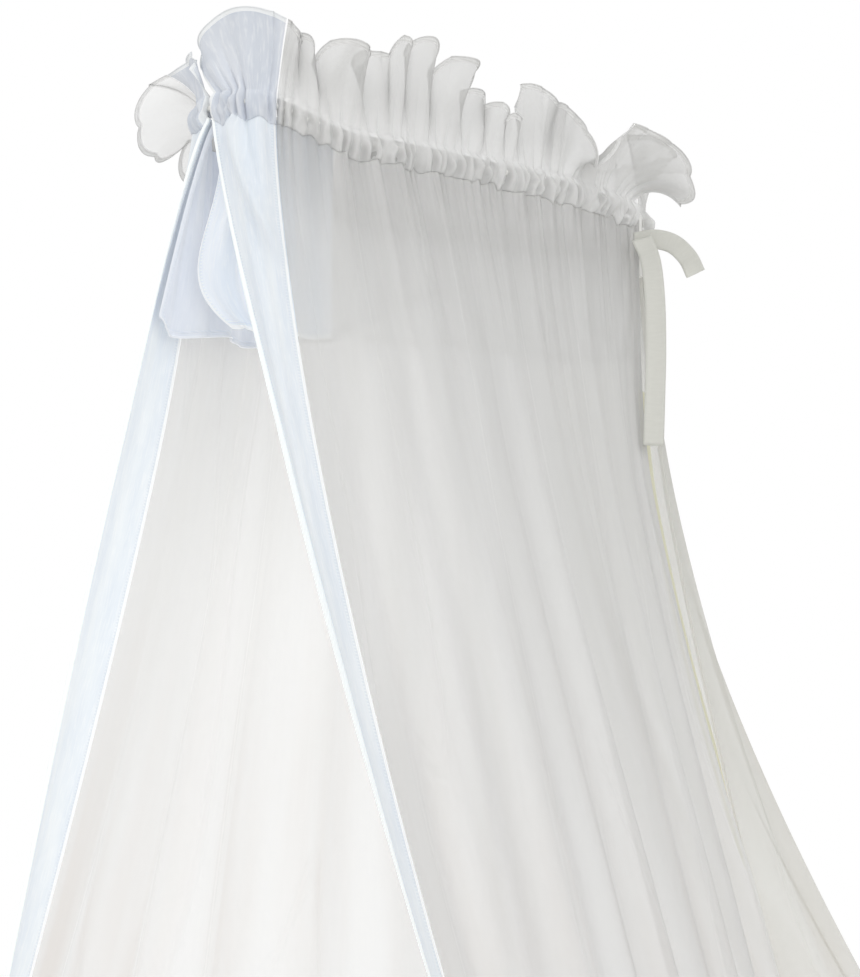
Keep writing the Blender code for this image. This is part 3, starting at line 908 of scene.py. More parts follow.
@dataclass(frozen=True)
class WovenTape:
    """Narrow woven tape or piping, off white, ribbed across."""

    name: str = "white_ribbon"
    colour: Colour = (229, 229, 222)
    worn: Colour = (216, 216, 208)
    rib: float = 0.0011
    painted_glow: float = 0.0           # painted glow, as a share of its colour, that lifts the tape out of shade

    def material(self) -> bpy.types.Material:
        """Ribs are a sine across the tape; slubs vary their tone.

        Returns:
            The new material.
        """
        graph = Graph(self.name)
        vector, _, v = graph.flat()
        ribs = (v * (2 * np.pi / self.rib)).sine()
        slubs = graph.noise(vector, (90.0, 400.0, 1.0), 2.0)
        tone = graph.blend(slubs * 0.6, paint(self.colour), paint(self.worn))
        # the emission is painted glow that brightens the tape
        return graph.finish(Base_Color=tone, Roughness=0.7 + slubs * 0.12, Sheen_Weight=0.2,
                            Normal=graph.bump(ribs * 0.3 + slubs * 0.4, 0.0004),
                            Emission_Color=tone, Emission_Strength=self.painted_glow)


@dataclass(frozen=True)
class WhiteWire:
    """White paint on steel wire, with a fine orange-peel surface and duller patches."""

    name: str = "white_wire"
    colour: Colour = (238, 238, 235)
    duller: Colour = (222, 221, 215)

    def material(self) -> bpy.types.Material:
        """Noise on Object coordinates varies tone, gloss and height.

        Returns:
            The new material.
        """
        graph = Graph(self.name)
        place = graph.node("ShaderNodeTexCoord", out="Object")
        patches = graph.noise(place, (30.0, 30.0, 30.0), 3.0)
        peel = graph.noise(place, (900.0, 900.0, 900.0), 1.0)
        tone = graph.blend(patches.step(0.45, 0.8) * 0.4, paint(self.colour),
                           paint(self.duller))
        return graph.finish(Base_Color=tone, Roughness=0.32 + patches * 0.2,
                            Coat_Weight=0.3, Normal=graph.bump(peel, 0.0002, 0.4))


@dataclass(frozen=True)
class Floor:
    """Pale studio floor."""

    name: str = "studio_floor"
    colour: Colour = (236, 235, 233)
    light: Colour = (242, 241, 239)

    def material(self) -> bpy.types.Material:
        """A faint mottle on Object coordinates.

        Returns:
            The new material.
        """
        graph = Graph(self.name)
        place = graph.node("ShaderNodeTexCoord", out="Object")
        mottle = graph.noise(place, (3.0, 3.0, 3.0), 4.0)
        tone = graph.blend(mottle, paint(self.colour), paint(self.light))
        return graph.finish(Base_Color=tone, Roughness=0.75)


@dataclass
class Finishes:
    """One material of each finish, made when it is first asked for."""

    made: dict[str, bpy.types.Material] = field(default_factory=dict)

    def get(self, finish: "SheerNet | Cotton | WovenTape | WhiteWire | Floor") -> bpy.types.Material:
        """The finish's material."""
        if finish.name not in self.made:
            self.made[finish.name] = finish.material()
        return self.made[finish.name]


FINISHES = Finishes()


def place(piece: bpy.types.Object, finish: object, slot: Slot, *nodes: str) -> bpy.types.Object:
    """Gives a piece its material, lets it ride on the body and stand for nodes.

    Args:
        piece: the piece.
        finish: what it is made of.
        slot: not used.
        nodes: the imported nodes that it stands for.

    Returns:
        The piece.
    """
    piece.data.materials.clear()
    piece.data.materials.append(FINISHES.get(finish))
    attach(piece, BODY)
    if nodes:
        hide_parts(*nodes)
    faces = len(piece.data.polygons)
    log.info("%-22s %7d faces  %s", piece.name, faces, ", ".join(nodes))
    return piece


# ---------------------------------------------------------------- the canopy's cloths

@dataclass
class Net:
    """The long net from band to band, one cloth slit at the back."""

    shape: NetShape
    finish: SheerNet = field(default_factory=SheerNet)
    flat_width: float = 2.70
    band_share: float = 0.050
    seam_share: float = 0.0017
    above: float = 0.0045        # the seam allowance that reaches the casing
    near_columns: int = 330
    far_columns: int = 350
    rows: int = 110
    bottom_hem: float = 0.022
    slit_hem: float = 0.014
    hem_end: tuple[float, float] = (0.02, 0.03)   # above the slit's end, and over what depth
    warm_from: tuple[float, float] = (0.25, 0.70)   # the depth where it starts and its reach
    near_warm: float = 0.35
    # Painted shade with an olive tint on the far panel's outer face behind the slit.
    outer_shade_tint: float = 0.36     # behind the slit
    outer_until: tuple[float, float] = (0.62, 0.06)   # where it ends, and over what share
    top_shade: float = 0.60      # under the casing
    top_shade_depth: float = 0.11
    # The sheet in the slit, painted shade for the tinted inside seen through it:
    shade_sheet_top: float = 0.17
    shade_sheet_width: float = 0.028
    shade_sheet_reach: float = 0.92   # of the gap between the slit's edges, at most
    shade_sheet_inset: float = 0.0025
    shade_sheet_edge: float = 0.1     # farther than any hem reaches
    shade_sheet_finish: SheerNet = field(default_factory=lambda: SheerNet(
        name="slit_shade_sheet", colour=(236, 234, 204), cover=0.86))

    def depths(self) -> np.ndarray:
        """Row depths, closer together near the casing: a power of the row number."""
        part = np.linspace(0.0, 1.0, self.rows) ** 1.5
        return -self.above + (self.shape.hem_depth + self.above) * part

    def grid(self, first: float, last: float, columns: int, panel: Panel) -> ClothGrid:
        """One panel, with its hem distances: the slit's edge and the bottom count, each
        scaled so that one hem width serves for both.

        Args:
            first: the place round the canopy where it starts.
            last: where it ends.
            columns: columns of faces.
            panel: the side of the slit.

        Returns:
            The panel's grid.
        """
        around, depth = np.meshgrid(np.linspace(first, last, columns + 1), self.depths())
        points = self.shape.surface(around, depth, panel)
        across = running(points, 1)
        from_slit = across[:, -1:] - across if panel is Panel.NEAR else across
        closed = ease((depth - self.shape.slit_depth + self.hem_end[0]) / self.hem_end[1])
        side = from_slit * self.finish.hem / self.slit_hem + closed
        below = (self.shape.hem_depth - depth) * self.finish.hem / self.bottom_hem
        warm = ease((depth - self.warm_from[0]) / self.warm_from[1])
        # painted shade, olive-tinted, behind the slit; the near panel gets none
        shade_tint = self.outer_shade_tint * ease((self.outer_until[0] - around) / self.outer_until[1])
        if panel is Panel.NEAR:
            warm, shade_tint = warm * self.near_warm, 0.0
        shade = self.top_shade * ease(1 - depth / self.top_shade_depth)
        return ClothGrid(points, around * self.flat_width, depth, np.minimum(side, below), warm,
                         shade_tint, shade)

    def shade_sheet(self) -> bpy.types.Object:
        """A yellowish sheet behind the slit's near edge that stands in for the shaded, tinted inside
        seen through the slit: painted shade. It lies on the straight line from that edge to the far
        one: near + (far - near) * part * min(width / gap, reach).

        Returns:
            The new piece.
        """
        part, depth = np.meshgrid(np.linspace(0.0, 1.0, 9),
                                  np.linspace(self.shade_sheet_top, self.shape.slit_depth, 90))
        around = np.full_like(depth, self.shape.slit_around)
        near = self.shape.surface(around, depth, Panel.NEAR, 1.0, self.shade_sheet_inset)
        far = self.shape.surface(around, depth, Panel.FAR, 1.0, self.shade_sheet_inset)
        gap = np.maximum(np.linalg.norm(far - near, axis=-1), 1e-4)
        reach = np.minimum(self.shade_sheet_width / gap, self.shade_sheet_reach)
        points = near + (far - near) * (part * reach)[..., None]
        across = running(points, 1)
        grid = ClothGrid(points, across, depth, np.full_like(depth, self.shade_sheet_edge))
        return place(cloth_mesh("slit_shade_sheet", [grid]), self.shade_sheet_finish, Slot.NET)

    def build(self) -> bpy.types.Object:
        """Makes both panels as one cloth, joined below the slit.

        Returns:
            The new piece.
        """
        slit, seam = self.shape.slit_around, self.band_share + self.seam_share * 0.4
        piece = cloth_mesh("net_cloth", [
            self.grid(seam, slit, self.near_columns, Panel.NEAR),
            self.grid(slit, 1 - seam, self.far_columns, Panel.FAR)], merge=True)
        place(piece, self.finish, Slot.NET, "net")
        # the sheet in the slit is painted shade
        return (piece, self.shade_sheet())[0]


@dataclass
class Bands:
    """The two blue bands on the net's front edges, each with white piping."""

    shape: NetShape
    share: float = 0.050
    columns: int = 36
    rows: int = 150
    piping: dict[str, tuple[float, float]] = field(default_factory=lambda: {
        "near": (0.0022, 0.0042), "far": (0.0014, 0.0018)})   # at the top and fully down
    piping_full: float = 0.50
    above: float = -0.003        # the depth at which they start, under the casing
    crowding: float = 1.4        # of the rows towards the casing
    ridge_height: float = 0.015
    ridge_middle: float = 0.40   # part of the band's width, as the ridge's own width is
    ridge_width: float = 0.11
    ridge_slant: float = 30.0    # how fast it wanders across, per square metre of depth
    ridge_rise: float = 0.02     # the depth over which it comes
    ridge_fall: tuple[float, float] = (0.08, 0.07)   # the depth where it goes, over what
    flat_width: float = 0.088
    finish: Cotton = field(default_factory=lambda: Cotton(
        name="band_cotton", border_width=0.0022, hem=0.0050, colour=(226, 233, 241),
        light=(236, 241, 245)))
    # White piping with a painted glow that lifts it out of shade.
    cord: WovenTape = field(default_factory=lambda: WovenTape(
        name="white_piping", colour=(248, 252, 252), worn=(242, 247, 248), painted_glow=0.22))

    def ridge(self, part: np.ndarray, depth: np.ndarray) -> np.ndarray:
        """A soft fold that runs from the casing slantwise across the near band: a bell
        across the band whose middle moves with depth squared and which fades below.

        Args:
            part: 0 to 1 across the band.
            depth: below the casing.

        Returns:
            How far the fold stands out.
        """
        middle = self.ridge_middle + self.ridge_slant * depth ** 2
        bell = np.exp(-((part - middle) / self.ridge_width) ** 2)
        fall = 1 - ease((depth - self.ridge_fall[0]) / self.ridge_fall[1])
        return self.ridge_height * bell * ease((depth - self.above) / self.ridge_rise) * fall

    def build(self) -> list[bpy.types.Object]:
        """Makes each band and its piping.

        Returns:
            The bands, each with its piping after it.
        """
        made = []
        depths = self.above + (self.shape.hem_depth - self.above) * (
            np.linspace(0, 1, self.rows) ** self.crowding)
        for side, first, last, panel in (("near", 0.0, self.share, Panel.NEAR),
                                         ("far", 1 - self.share, 1.0, Panel.FAR)):
            around, depth = np.meshgrid(np.linspace(first, last, self.columns + 1), depths)
            part = (around - first) / (last - first)
            ridge = self.ridge(part, depth) if panel is Panel.NEAR else 0.0
            points = self.shape.surface(around, depth, panel, 1.0, -ridge)
            across = running(points, 1)
            edge = np.minimum(across, across[:, -1:] - across)
            edge = np.minimum(edge, self.shape.hem_depth - depth)
            grid = ClothGrid(points, part * self.flat_width, depth, edge)
            band = cloth_mesh(f"band_{side}_cloth", [grid])
            place(band, self.finish, Slot.BLUE, f"band_{side}")
            front = points[:, 0] if panel is Panel.NEAR else points[:, -1]
            share = self.shape.share_at(np.full(len(front), first if panel is Panel.NEAR else last))
            out = outward(self.shape.line, share, depths, 1.0)
            thin, thick = self.piping[side]
            radius = thin + (thick - thin) * ease(depths / self.piping_full)
            piping = tube(f"piping_{side}", front, radius, out)
            place(piping, self.cord, Slot.RIBBON)
            made += [band, piping]
        return made


class FlounceStation(NamedTuple):
    """A place round the flounce: 0 near end to 1 far end, its length, how far it slopes
    out with the net, and how far it hangs inside it at its hem."""

    around: float
    length: float
    follow: float
    inset: float


@dataclass
class Flounce:
    """The short flounce inside the net: two sheer halves with blue front ends. Its near
    free edge swings out into the front opening."""

    shape: NetShape
    stations: tuple[FlounceStation, ...] = (
        FlounceStation(0.000, 0.182, 0.05, 0.030), FlounceStation(0.075, 0.178, 0.35, 0.034),
        FlounceStation(0.120, 0.152, 0.50, 0.028), FlounceStation(0.170, 0.124, 0.68, 0.020),
        FlounceStation(0.430, 0.122, 0.75, 0.018), FlounceStation(0.850, 0.140, 0.80, 0.020),
        FlounceStation(0.930, 0.168, 0.92, 0.020), FlounceStation(0.975, 0.186, 0.98, 0.008),
        FlounceStation(1.000, 0.176, 1.00, 0.001),
    )
    inset: float = 0.0060
    waves: int = 12
    wave_depth: float = 0.25
    ripple: float = 0.0035
    flare: float = 0.042
    flare_around: float = 0.060
    flare_low: float = 2.0
    flare_part: float = 0.93
    flare_towards: tuple[float, float, float] = (-0.80, -0.60, 0.0)
    near_end: float = 0.095
    far_end: float = 0.138
    seam_share: float = 0.0017
    above: float = -0.003        # the depth at which it starts, under the casing
    rows: int = 36
    fullness: float = 1.25
    flat: dict[str, tuple[float, float]] = field(default_factory=lambda: {
        "flounce_end_near": (0.135, 0.19), "flounce_near": (0.52, 0.135),
        "flounce_far": (0.62, 0.16), "flounce_end_far": (0.185, 0.19)})
    roll: float = 0.0009
    sheer: SheerNet = field(default_factory=lambda: SheerNet(name="sheer_flounce", hem=0.0055,
                                                             cover=0.42))
    # The near blue end glows more than the far one: painted light that lifts it out of its own
    # shadow.
    blue: Cotton = field(default_factory=lambda: Cotton(
        name="flounce_cotton", cover=0.93, hem=0.0060, border_width=0.0022, painted_glow=0.16))
    # The far blue end is the same cotton made darker and given less glow: a shaded copy, painted
    # shade.
    far_blue: Cotton = field(default_factory=lambda: Cotton(
        name="flounce_far_cotton", cover=0.93, hem=0.0060, border_width=0.0016, painted_glow=0.10,
        colour=(224, 229, 239), light=(232, 236, 243), border=(238, 241, 246)))

    def grid(self, first: float, last: float, columns: int, panel: Panel) -> ClothGrid:
        """The flounce between two places: it follows the net from inside with waves of its
        own, and its last rows are a narrow rolled hem.

        Args:
            first: the place round the canopy where it starts.
            last: where it ends.
            columns: columns of faces.
            panel: the side of the slit.

        Returns:
            The stretch's grid.
        """
        around, part = np.meshgrid(np.linspace(first, last, columns + 1),
                                   np.linspace(0.0, 1.0, self.rows))
        knots = [station.around for station in self.stations]
        length, follow, inset = (
            smooth_through(knots, [getattr(station, name) for station in self.stations], around)
            for name in ("length", "follow", "inset"))
        wave = 1 + self.wave_depth * np.sin(2 * np.pi * self.waves * around)
        ripple = self.ripple * wavering(around, 26, 52, 14) * part
        depth = self.above + part * (length - self.above)
        inset = self.inset + inset * part * wave + ripple
        points = self.shape.surface(around, depth, panel, follow, inset)
        swing = self.flare * np.sin(np.pi * (self.flare_part * part) ** self.flare_low) * (
            1 - ease(around / self.flare_around))
        points = points + swing[..., None] * np.array(self.flare_towards)
        points = rolled(points, self.roll)
        flat_width = self.shape.hoop.perimeter * self.fullness
        turns = len(HEM_TURNS)
        extra = self.roll * np.arange(1, turns + 1)[:, None] * np.ones_like(around[:1])
        down = np.concatenate([part * length, length[-1:] + extra])
        edge = np.concatenate([(1 - part) * length, np.zeros((turns, around.shape[1]))])
        wide = np.concatenate([around, np.repeat(around[-1:], turns, axis=0)])
        edge = np.minimum(edge, np.minimum(wide, 1 - wide) * flat_width)
        return ClothGrid(points, wide * flat_width, down, edge)

    def build(self) -> list[bpy.types.Object]:
        """Makes the two halves and the two blue ends.

        Returns:
            The four pieces.
        """
        slit, near, far = self.shape.slit_around, self.near_end, 1 - self.far_end
        seam = self.seam_share * 0.5
        made = []
        for name, finish, slot, first, last, columns, panel in (
                ("flounce_end_near", self.blue, Slot.BLUE, 0.0, near, 70, Panel.NEAR),
                ("flounce_near", self.sheer, Slot.NET, near + seam, slit, 230, Panel.NEAR),
                ("flounce_far", self.sheer, Slot.NET, slit, far - seam, 250, Panel.FAR),
                ("flounce_end_far", self.far_blue, Slot.BLUE, far, 1.0, 100, Panel.FAR)):
            piece = cloth_mesh(f"{name}_cloth", [self.grid(first, last, columns, panel)])
            place(piece, finish, slot, name)
            made.append(piece)
        return made


class Lobe(NamedTuple):
    """A standing fold of the ruffle and the valley after it: its width, the degrees by
    which the crest's edge is turned out, the cloth's length there, the way it is drawn
    along the hoop, and the turn and length in the valley."""

    width: float
    lean: float
    length: float
    along: float
    dip_lean: float
    dip: float


@dataclass(frozen=True)
class Half:
    """One half of the casing and its ruffle, over the hoop's shares from first to last."""

    lobes: tuple[Lobe, ...]
    first: float
    last: float
    first_along: float
    last_along: float
    corners: tuple[int, ...]     # the ends, 0 or 1, whose top corner is rounded


@dataclass
class Heading:
    """The casing round the wire with the standing ruffle above it, in two halves, each
    with a blue end at the front."""

    shape: NetShape
    near_lobes: tuple[Lobe, ...] = (
        Lobe(15.8, 24, 0.074, 0.006, -10, 0.060), Lobe(4.2, 18, 0.068, 0.003, -10, 0.046),
        Lobe(8.5, 22, 0.074, -0.002, -8, 0.062), Lobe(4.6, -10, 0.083, 0.000, -5, 0.078),
        Lobe(3.6, 12, 0.092, 0.002, -5, 0.078), Lobe(5.8, 18, 0.098, 0.003, -5, 0.064),
        Lobe(7.0, 36, 0.086, 0.008, -10, 0.050), Lobe(5.3, -12, 0.067, 0.014, 5, 0.048),
        Lobe(5.2, 20, 0.054, 0.004, -6, 0.036), Lobe(3.6, 8, 0.046, 0.000, 0, 0.042),
        Lobe(8.4, 12, 0.082, -0.004, 4, 0.068), Lobe(7.0, 26, 0.060, 0.000, 130, 0.042),
        Lobe(21.0, 54, 0.074, 0.014, 148, 0.084),
    )
    far_lobes: tuple[Lobe, ...] = (
        Lobe(12.0, 46, 0.076, -0.014, -6, 0.062), Lobe(6.5, 22, 0.070, 0.000, -12, 0.054),
        Lobe(8.5, 38, 0.078, 0.004, -8, 0.062), Lobe(6.0, 16, 0.072, 0.000, -12, 0.054),
        Lobe(9.5, 34, 0.080, 0.006, -8, 0.062), Lobe(5.5, 24, 0.070, 0.000, -10, 0.054),
        Lobe(8.5, 44, 0.078, -0.004, -6, 0.060), Lobe(7.5, 60, 0.076, 0.000, 20, 0.064),
        Lobe(8.5, 110, 0.086, 0.002, 60, 0.078), Lobe(9.0, 150, 0.102, 0.002, 104, 0.086),
        Lobe(8.0, 138, 0.106, 0.004, 80, 0.086), Lobe(10.5, 24, 0.056, 0.004, 14, 0.054),
    )
    swirl: float = 0.24          # part of its width by which a lobe's sides spread
    first_swirl: float = 0.04    # the same for the blue end's second side
    fullness: float = 0.75
    bend: float = 0.6
    base_lean: float = 0.0016
    casing_radius: float = 0.0088
    casing_length: float = 0.052
    lip_depth: float = 0.003     # where the casing is sewn to the net
    lip_wander: float = 0.0028
    lip_out: float = 0.0009
    lip_fold: float = 0.0007     # of the turned edge behind the lip
    arc: tuple[float, float] = (110.0, 262.0)   # degrees of the layer inside the wire
    bulge: float = 0.0049        # of the outer layer over the wire
    crumple: float = 0.0017
    blue_calm: float = 0.15      # how much flatter it is over the near blue end
    calm_reach: float = 0.02
    stitch_height: float = 0.0110
    pinch: float = 0.0032
    pleat: float = 0.0044
    sway: float = 0.0068
    slide: float = 0.6           # of the sway, along the hoop
    frill: float = 0.0042        # crinkle of the top edge
    frill_count: float = 74.0
    corner_reach: float = 0.075
    corner_drop: float = 0.42
    drawn_reach: float = 0.100
    far_short: float = 0.002     # of the way round by which the far ruffle stops early
    band_share: float = 0.050
    seam_share: float = 0.0017
    inner_rows: int = 7
    outer_rows: int = 14
    ruffle_rows: int = 26
    columns: int = 560
    end_columns: int = 90
    roll: float = 0.0005
    flat_fullness: float = 1.35
    flat: dict[str, tuple[float, float]] = field(default_factory=lambda: {
        "heading_end_near": (0.085, 0.14), "heading_near": (0.66, 0.14),
        "heading_far": (0.85, 0.14), "heading_end_far": (0.085, 0.125)})
    # The near half's sheer, with grey painted shade and a painted highlight on its hems.
    sheer: SheerNet = field(default_factory=lambda: SheerNet(
        name="sheer_heading", hem=0.0045, cover=0.84, shade_tint=(200, 200, 198), hem_highlight=0.9))
    # The far half's sheer, with a painted highlight on its hems.
    sheer_far: SheerNet = field(default_factory=lambda: SheerNet(
        name="sheer_heading_far", hem=0.0045, cover=0.58, hem_highlight=0.9))
    # The ruffle's blue ends: the blue cotton made darker, a shaded copy and so painted shade, with a
    # faint painted glow.
    blue: Cotton = field(default_factory=lambda: Cotton(
        name="ruffle_cotton", cover=0.95, hem=0.0050, border_width=0.0040,
        colour=(208, 214, 224), light=(222, 226, 233), painted_glow=0.05))
    # Painted shade: how grey each half of the ruffle turns from its foot upwards; the far half gets
    # none.
    shade_tint: dict[Panel, float] = field(default_factory=lambda: {Panel.NEAR: 0.55, Panel.FAR: 0.0})
    shade_tint_from: tuple[float, float] = (-0.004, 0.045)   # the height where it starts, its reach

    def halves(self) -> tuple[Half, Half]:
        """The near and the far half, which part at the slit.

        Returns:
            The near half, the far half.
        """
        slit, stations = self.shape.hoop.slit_share, self.shape.stations
        gap = self.shape.slit_top_gap / 2 / self.shape.hoop.perimeter
        return (Half(self.near_lobes, stations[0].share, slit - gap,
                     first_along=-0.036, last_along=0.030, corners=(0, 1)),
                Half(self.far_lobes, slit + gap, stations[-1].share - self.far_short,
                     first_along=-0.030, last_along=-0.022, corners=(1,)))

    def edge(self, half: Half, along: np.ndarray) -> tuple[np.ndarray, ...]:
        """The ruffle's top edge along one half: within each lobe a raised cosine to a
        power goes from valley to crest.

        Args:
            half: which half.
            along: 0 to 1 along it.

        Returns:
            The turn in radians, the cloth's length, the share of the half by which the
            lobe's sides spread, and the way that the edge is drawn along the hoop.
        """
        at, width, phase = spans([lobe.width for lobe in half.lobes], along)
        crest = ((1 - np.cos(2 * np.pi * phase)) / 2) ** self.fullness
        column = {name: np.array([getattr(lobe, name) for lobe in half.lobes])
                  for name in Lobe._fields}
        before = np.maximum(at - 1, 0)
        values = []
        for valley, top in (("dip_lean", "lean"), ("dip", "length")):
            low = np.where(phase < 0.5, column[valley][before], column[valley][at])
            values.append(low + (column[top][at] - low) * crest)
        length = values[1]
        for end in half.corners:
            corner = 1 - np.minimum(np.abs(along - end) / self.corner_reach, 1.0)
            length = length * (1 - self.corner_drop * corner ** 2)
        drawn = column["along"][at] * crest
        for end, reach in ((0, half.first_along), (1, half.last_along)):
            drawn = drawn + reach * (1 - ease(np.abs(along - end) / self.drawn_reach))
        swirl = np.where((at == 0) & (phase > 0.5), self.first_swirl, self.swirl)
        return np.radians(values[0]), length, -swirl * width * np.sin(2 * np.pi * phase), drawn

    def casing(self, share: np.ndarray, fine: np.ndarray, panel: Panel) -> np.ndarray:
        """The casing's rows: an arc inside and under the wire, then the outer layer from
        the seam on the net's top edge up to the stitched line. The outer layer is a straight
        blend of the two with a sine bulge, pinched by the tucks and crumpled between.

        Args:
            share: of the hoop, a place a column.
            fine: the tucks at each.
            panel: the side of the slit.

        Returns:
            The casing's rows of points, from the inside to the stitched line.
        """
        shape = self.shape
        around = (share - shape.stations[0].share) / (
            shape.stations[-1].share - shape.stations[0].share)
        normal = outward(shape.hoop.local, share)
        wire = shape.hoop.at(share)
        angle = np.radians(np.linspace(*self.arc, self.inner_rows))[:, None]
        inner = (wire + normal * (self.casing_radius * np.cos(angle))[..., None]
                 + UP * (self.casing_radius * np.sin(angle))[..., None])
        depth = self.lip_depth + self.lip_wander * wavering(share, 28, 84, 51)
        lip = shape.surface(around, depth, panel)
        lip = lip + outward(shape.line, shape.share_at(around), depth, 1.0) * self.lip_out
        top = wire + normal * (self.base_lean + self.pinch * fine)[:, None]
        top[:, 2] += self.stitch_height
        bent = np.stack([lip - normal * 2 * self.lip_fold,
                         lip - normal * self.lip_fold - UP * self.lip_fold])
        t = np.linspace(0.0, 1.0, self.outer_rows)[:, None]
        crumple = wavering(share, 60, 130, 41) * np.sin(2 * np.pi * t) + wavering(
            share, 50, 110, 47) * np.sin(3 * np.pi * t)
        calm = 1.0
        if panel is Panel.NEAR:
            past = ease((around - self.band_share) / self.calm_reach)
            calm = 1 - self.blue_calm * (1 - past)
        bulge = (self.bulge * calm + 0.5 * self.pinch * fine) * np.sin(np.pi * t)
        bulge = bulge + self.crumple * crumple
        outer = lip * (1 - t)[..., None] + top * t[..., None] + normal * bulge[..., None]
        return np.concatenate([inner, bent, outer])

    def grid(self, half: Half, columns: int, first: float, last: float, panel: Panel) -> ClothGrid:
        """The casing, then the ruffle: row by row its lean grows as a power of the height,
        and the steps along it add up; the top edge is a narrow rolled hem.

        Args:
            half: which half.
            columns: columns of faces.
            first: 0 to 1 along the half, where it starts.
            last: where it ends.
            panel: the side of the slit.

        Returns:
            The stretch's grid.
        """
        hoop = self.shape.hoop
        part = np.linspace(first, last, columns + 1)
        share = half.first + (half.last - half.first) * part
        fine = tucks(share, self.shape.tuck_count, 3)
        casing = self.casing(share, fine, panel)
        turned, length, spread, drawn = self.edge(half, part)
        up = np.linspace(0.0, 1.0, self.ruffle_rows)[:, None]
        middle = (up[1:] + up[:-1]) / 2
        lean = turned * middle ** self.bend
        step = length / (self.ruffle_rows - 1)
        zero = np.zeros((1, columns + 1))
        sideways = self.base_lean + np.concatenate([zero, np.cumsum(step * np.sin(lean), axis=0)])
        upwards = self.stitch_height + np.concatenate([zero, np.cumsum(step * np.cos(lean), axis=0)])
        pucker = self.pinch * fine * (1 - up) ** 2
        pleats = self.pleat * wavering(share, 34, 62, 27) * np.sqrt(up) * (1.25 - up)
        sway = self.sway * wavering(share, 15, 27, 33) * up ** 1.3
        slide = self.sway * self.slide * wavering(share, 18, 30, 37) * up ** 1.5
        crinkle = self.frill * tucks(share, self.frill_count, 21) * up ** 3
        moved = share + (spread * (half.last - half.first) + (drawn + slide) / hoop.perimeter) * up
        normal = outward(hoop.local, share)
        ruffle = hoop.at(moved) + normal * (sideways + pucker + pleats + sway + crinkle)[..., None]
        ruffle[..., 2] += upwards - 0.5 * crinkle
        points = rolled(np.concatenate([casing, ruffle[1:]]), self.roll)
        rows = np.linspace(-self.casing_length, 0, len(casing))
        down = np.concatenate([rows[:, None] * np.ones_like(part), up[1:] * length,
                               length + self.roll * np.arange(1, len(HEM_TURNS) + 1)[:, None]])
        edge = np.maximum(length - down, 0.0)
        wide = np.broadcast_to(share * hoop.perimeter * self.flat_fullness, down.shape)
        free = np.abs(part - (0.0 if panel is Panel.NEAR else 1.0)) * (half.last - half.first)
        edge = np.minimum(edge, free * hoop.perimeter * self.flat_fullness)
        # painted shade on the near ruffle
        shade_tint = self.shade_tint[panel] * ease((down - self.shade_tint_from[0]) / self.shade_tint_from[1])
        return ClothGrid(points, wide, down, edge, 0.0, shade_tint)

    def build(self) -> list[bpy.types.Object]:
        """Makes the two sheer halves and the two blue ends.

        Returns:
            The four pieces.
        """
        near, far = self.halves()
        near_length, far_length = near.last - near.first, far.last - far.first
        near_blue, near_seam = self.band_share / near_length, self.seam_share / near_length
        far_blue = 1 - (self.band_share - self.far_short) / far_length
        far_seam = self.seam_share / far_length
        made = []
        for name, finish, slot, half, columns, first, last in (
                ("heading_end_near", self.blue, Slot.BLUE, near, self.end_columns, 0.0, near_blue),
                ("heading_near", self.sheer, Slot.NET, near, self.columns,
                 near_blue + near_seam * 0.5, 1.0),
                ("heading_far", self.sheer_far, Slot.NET, far, self.columns, 0.0,
                 far_blue - far_seam * 0.5),
                ("heading_end_far", self.blue, Slot.BLUE, far, self.end_columns, far_blue, 1.0)):
            panel = Panel.NEAR if half is near else Panel.FAR
            piece = cloth_mesh(f"{name}_cloth", [self.grid(half, columns, first, last, panel)])
            place(piece, finish, slot, name)
            made.append(piece)
        return made


class RibbonPoint(NamedTuple):
    """A point of a ribbon from the slit's top: along the ties' heading, out from it, down."""

    across: float
    out: float
    down: float


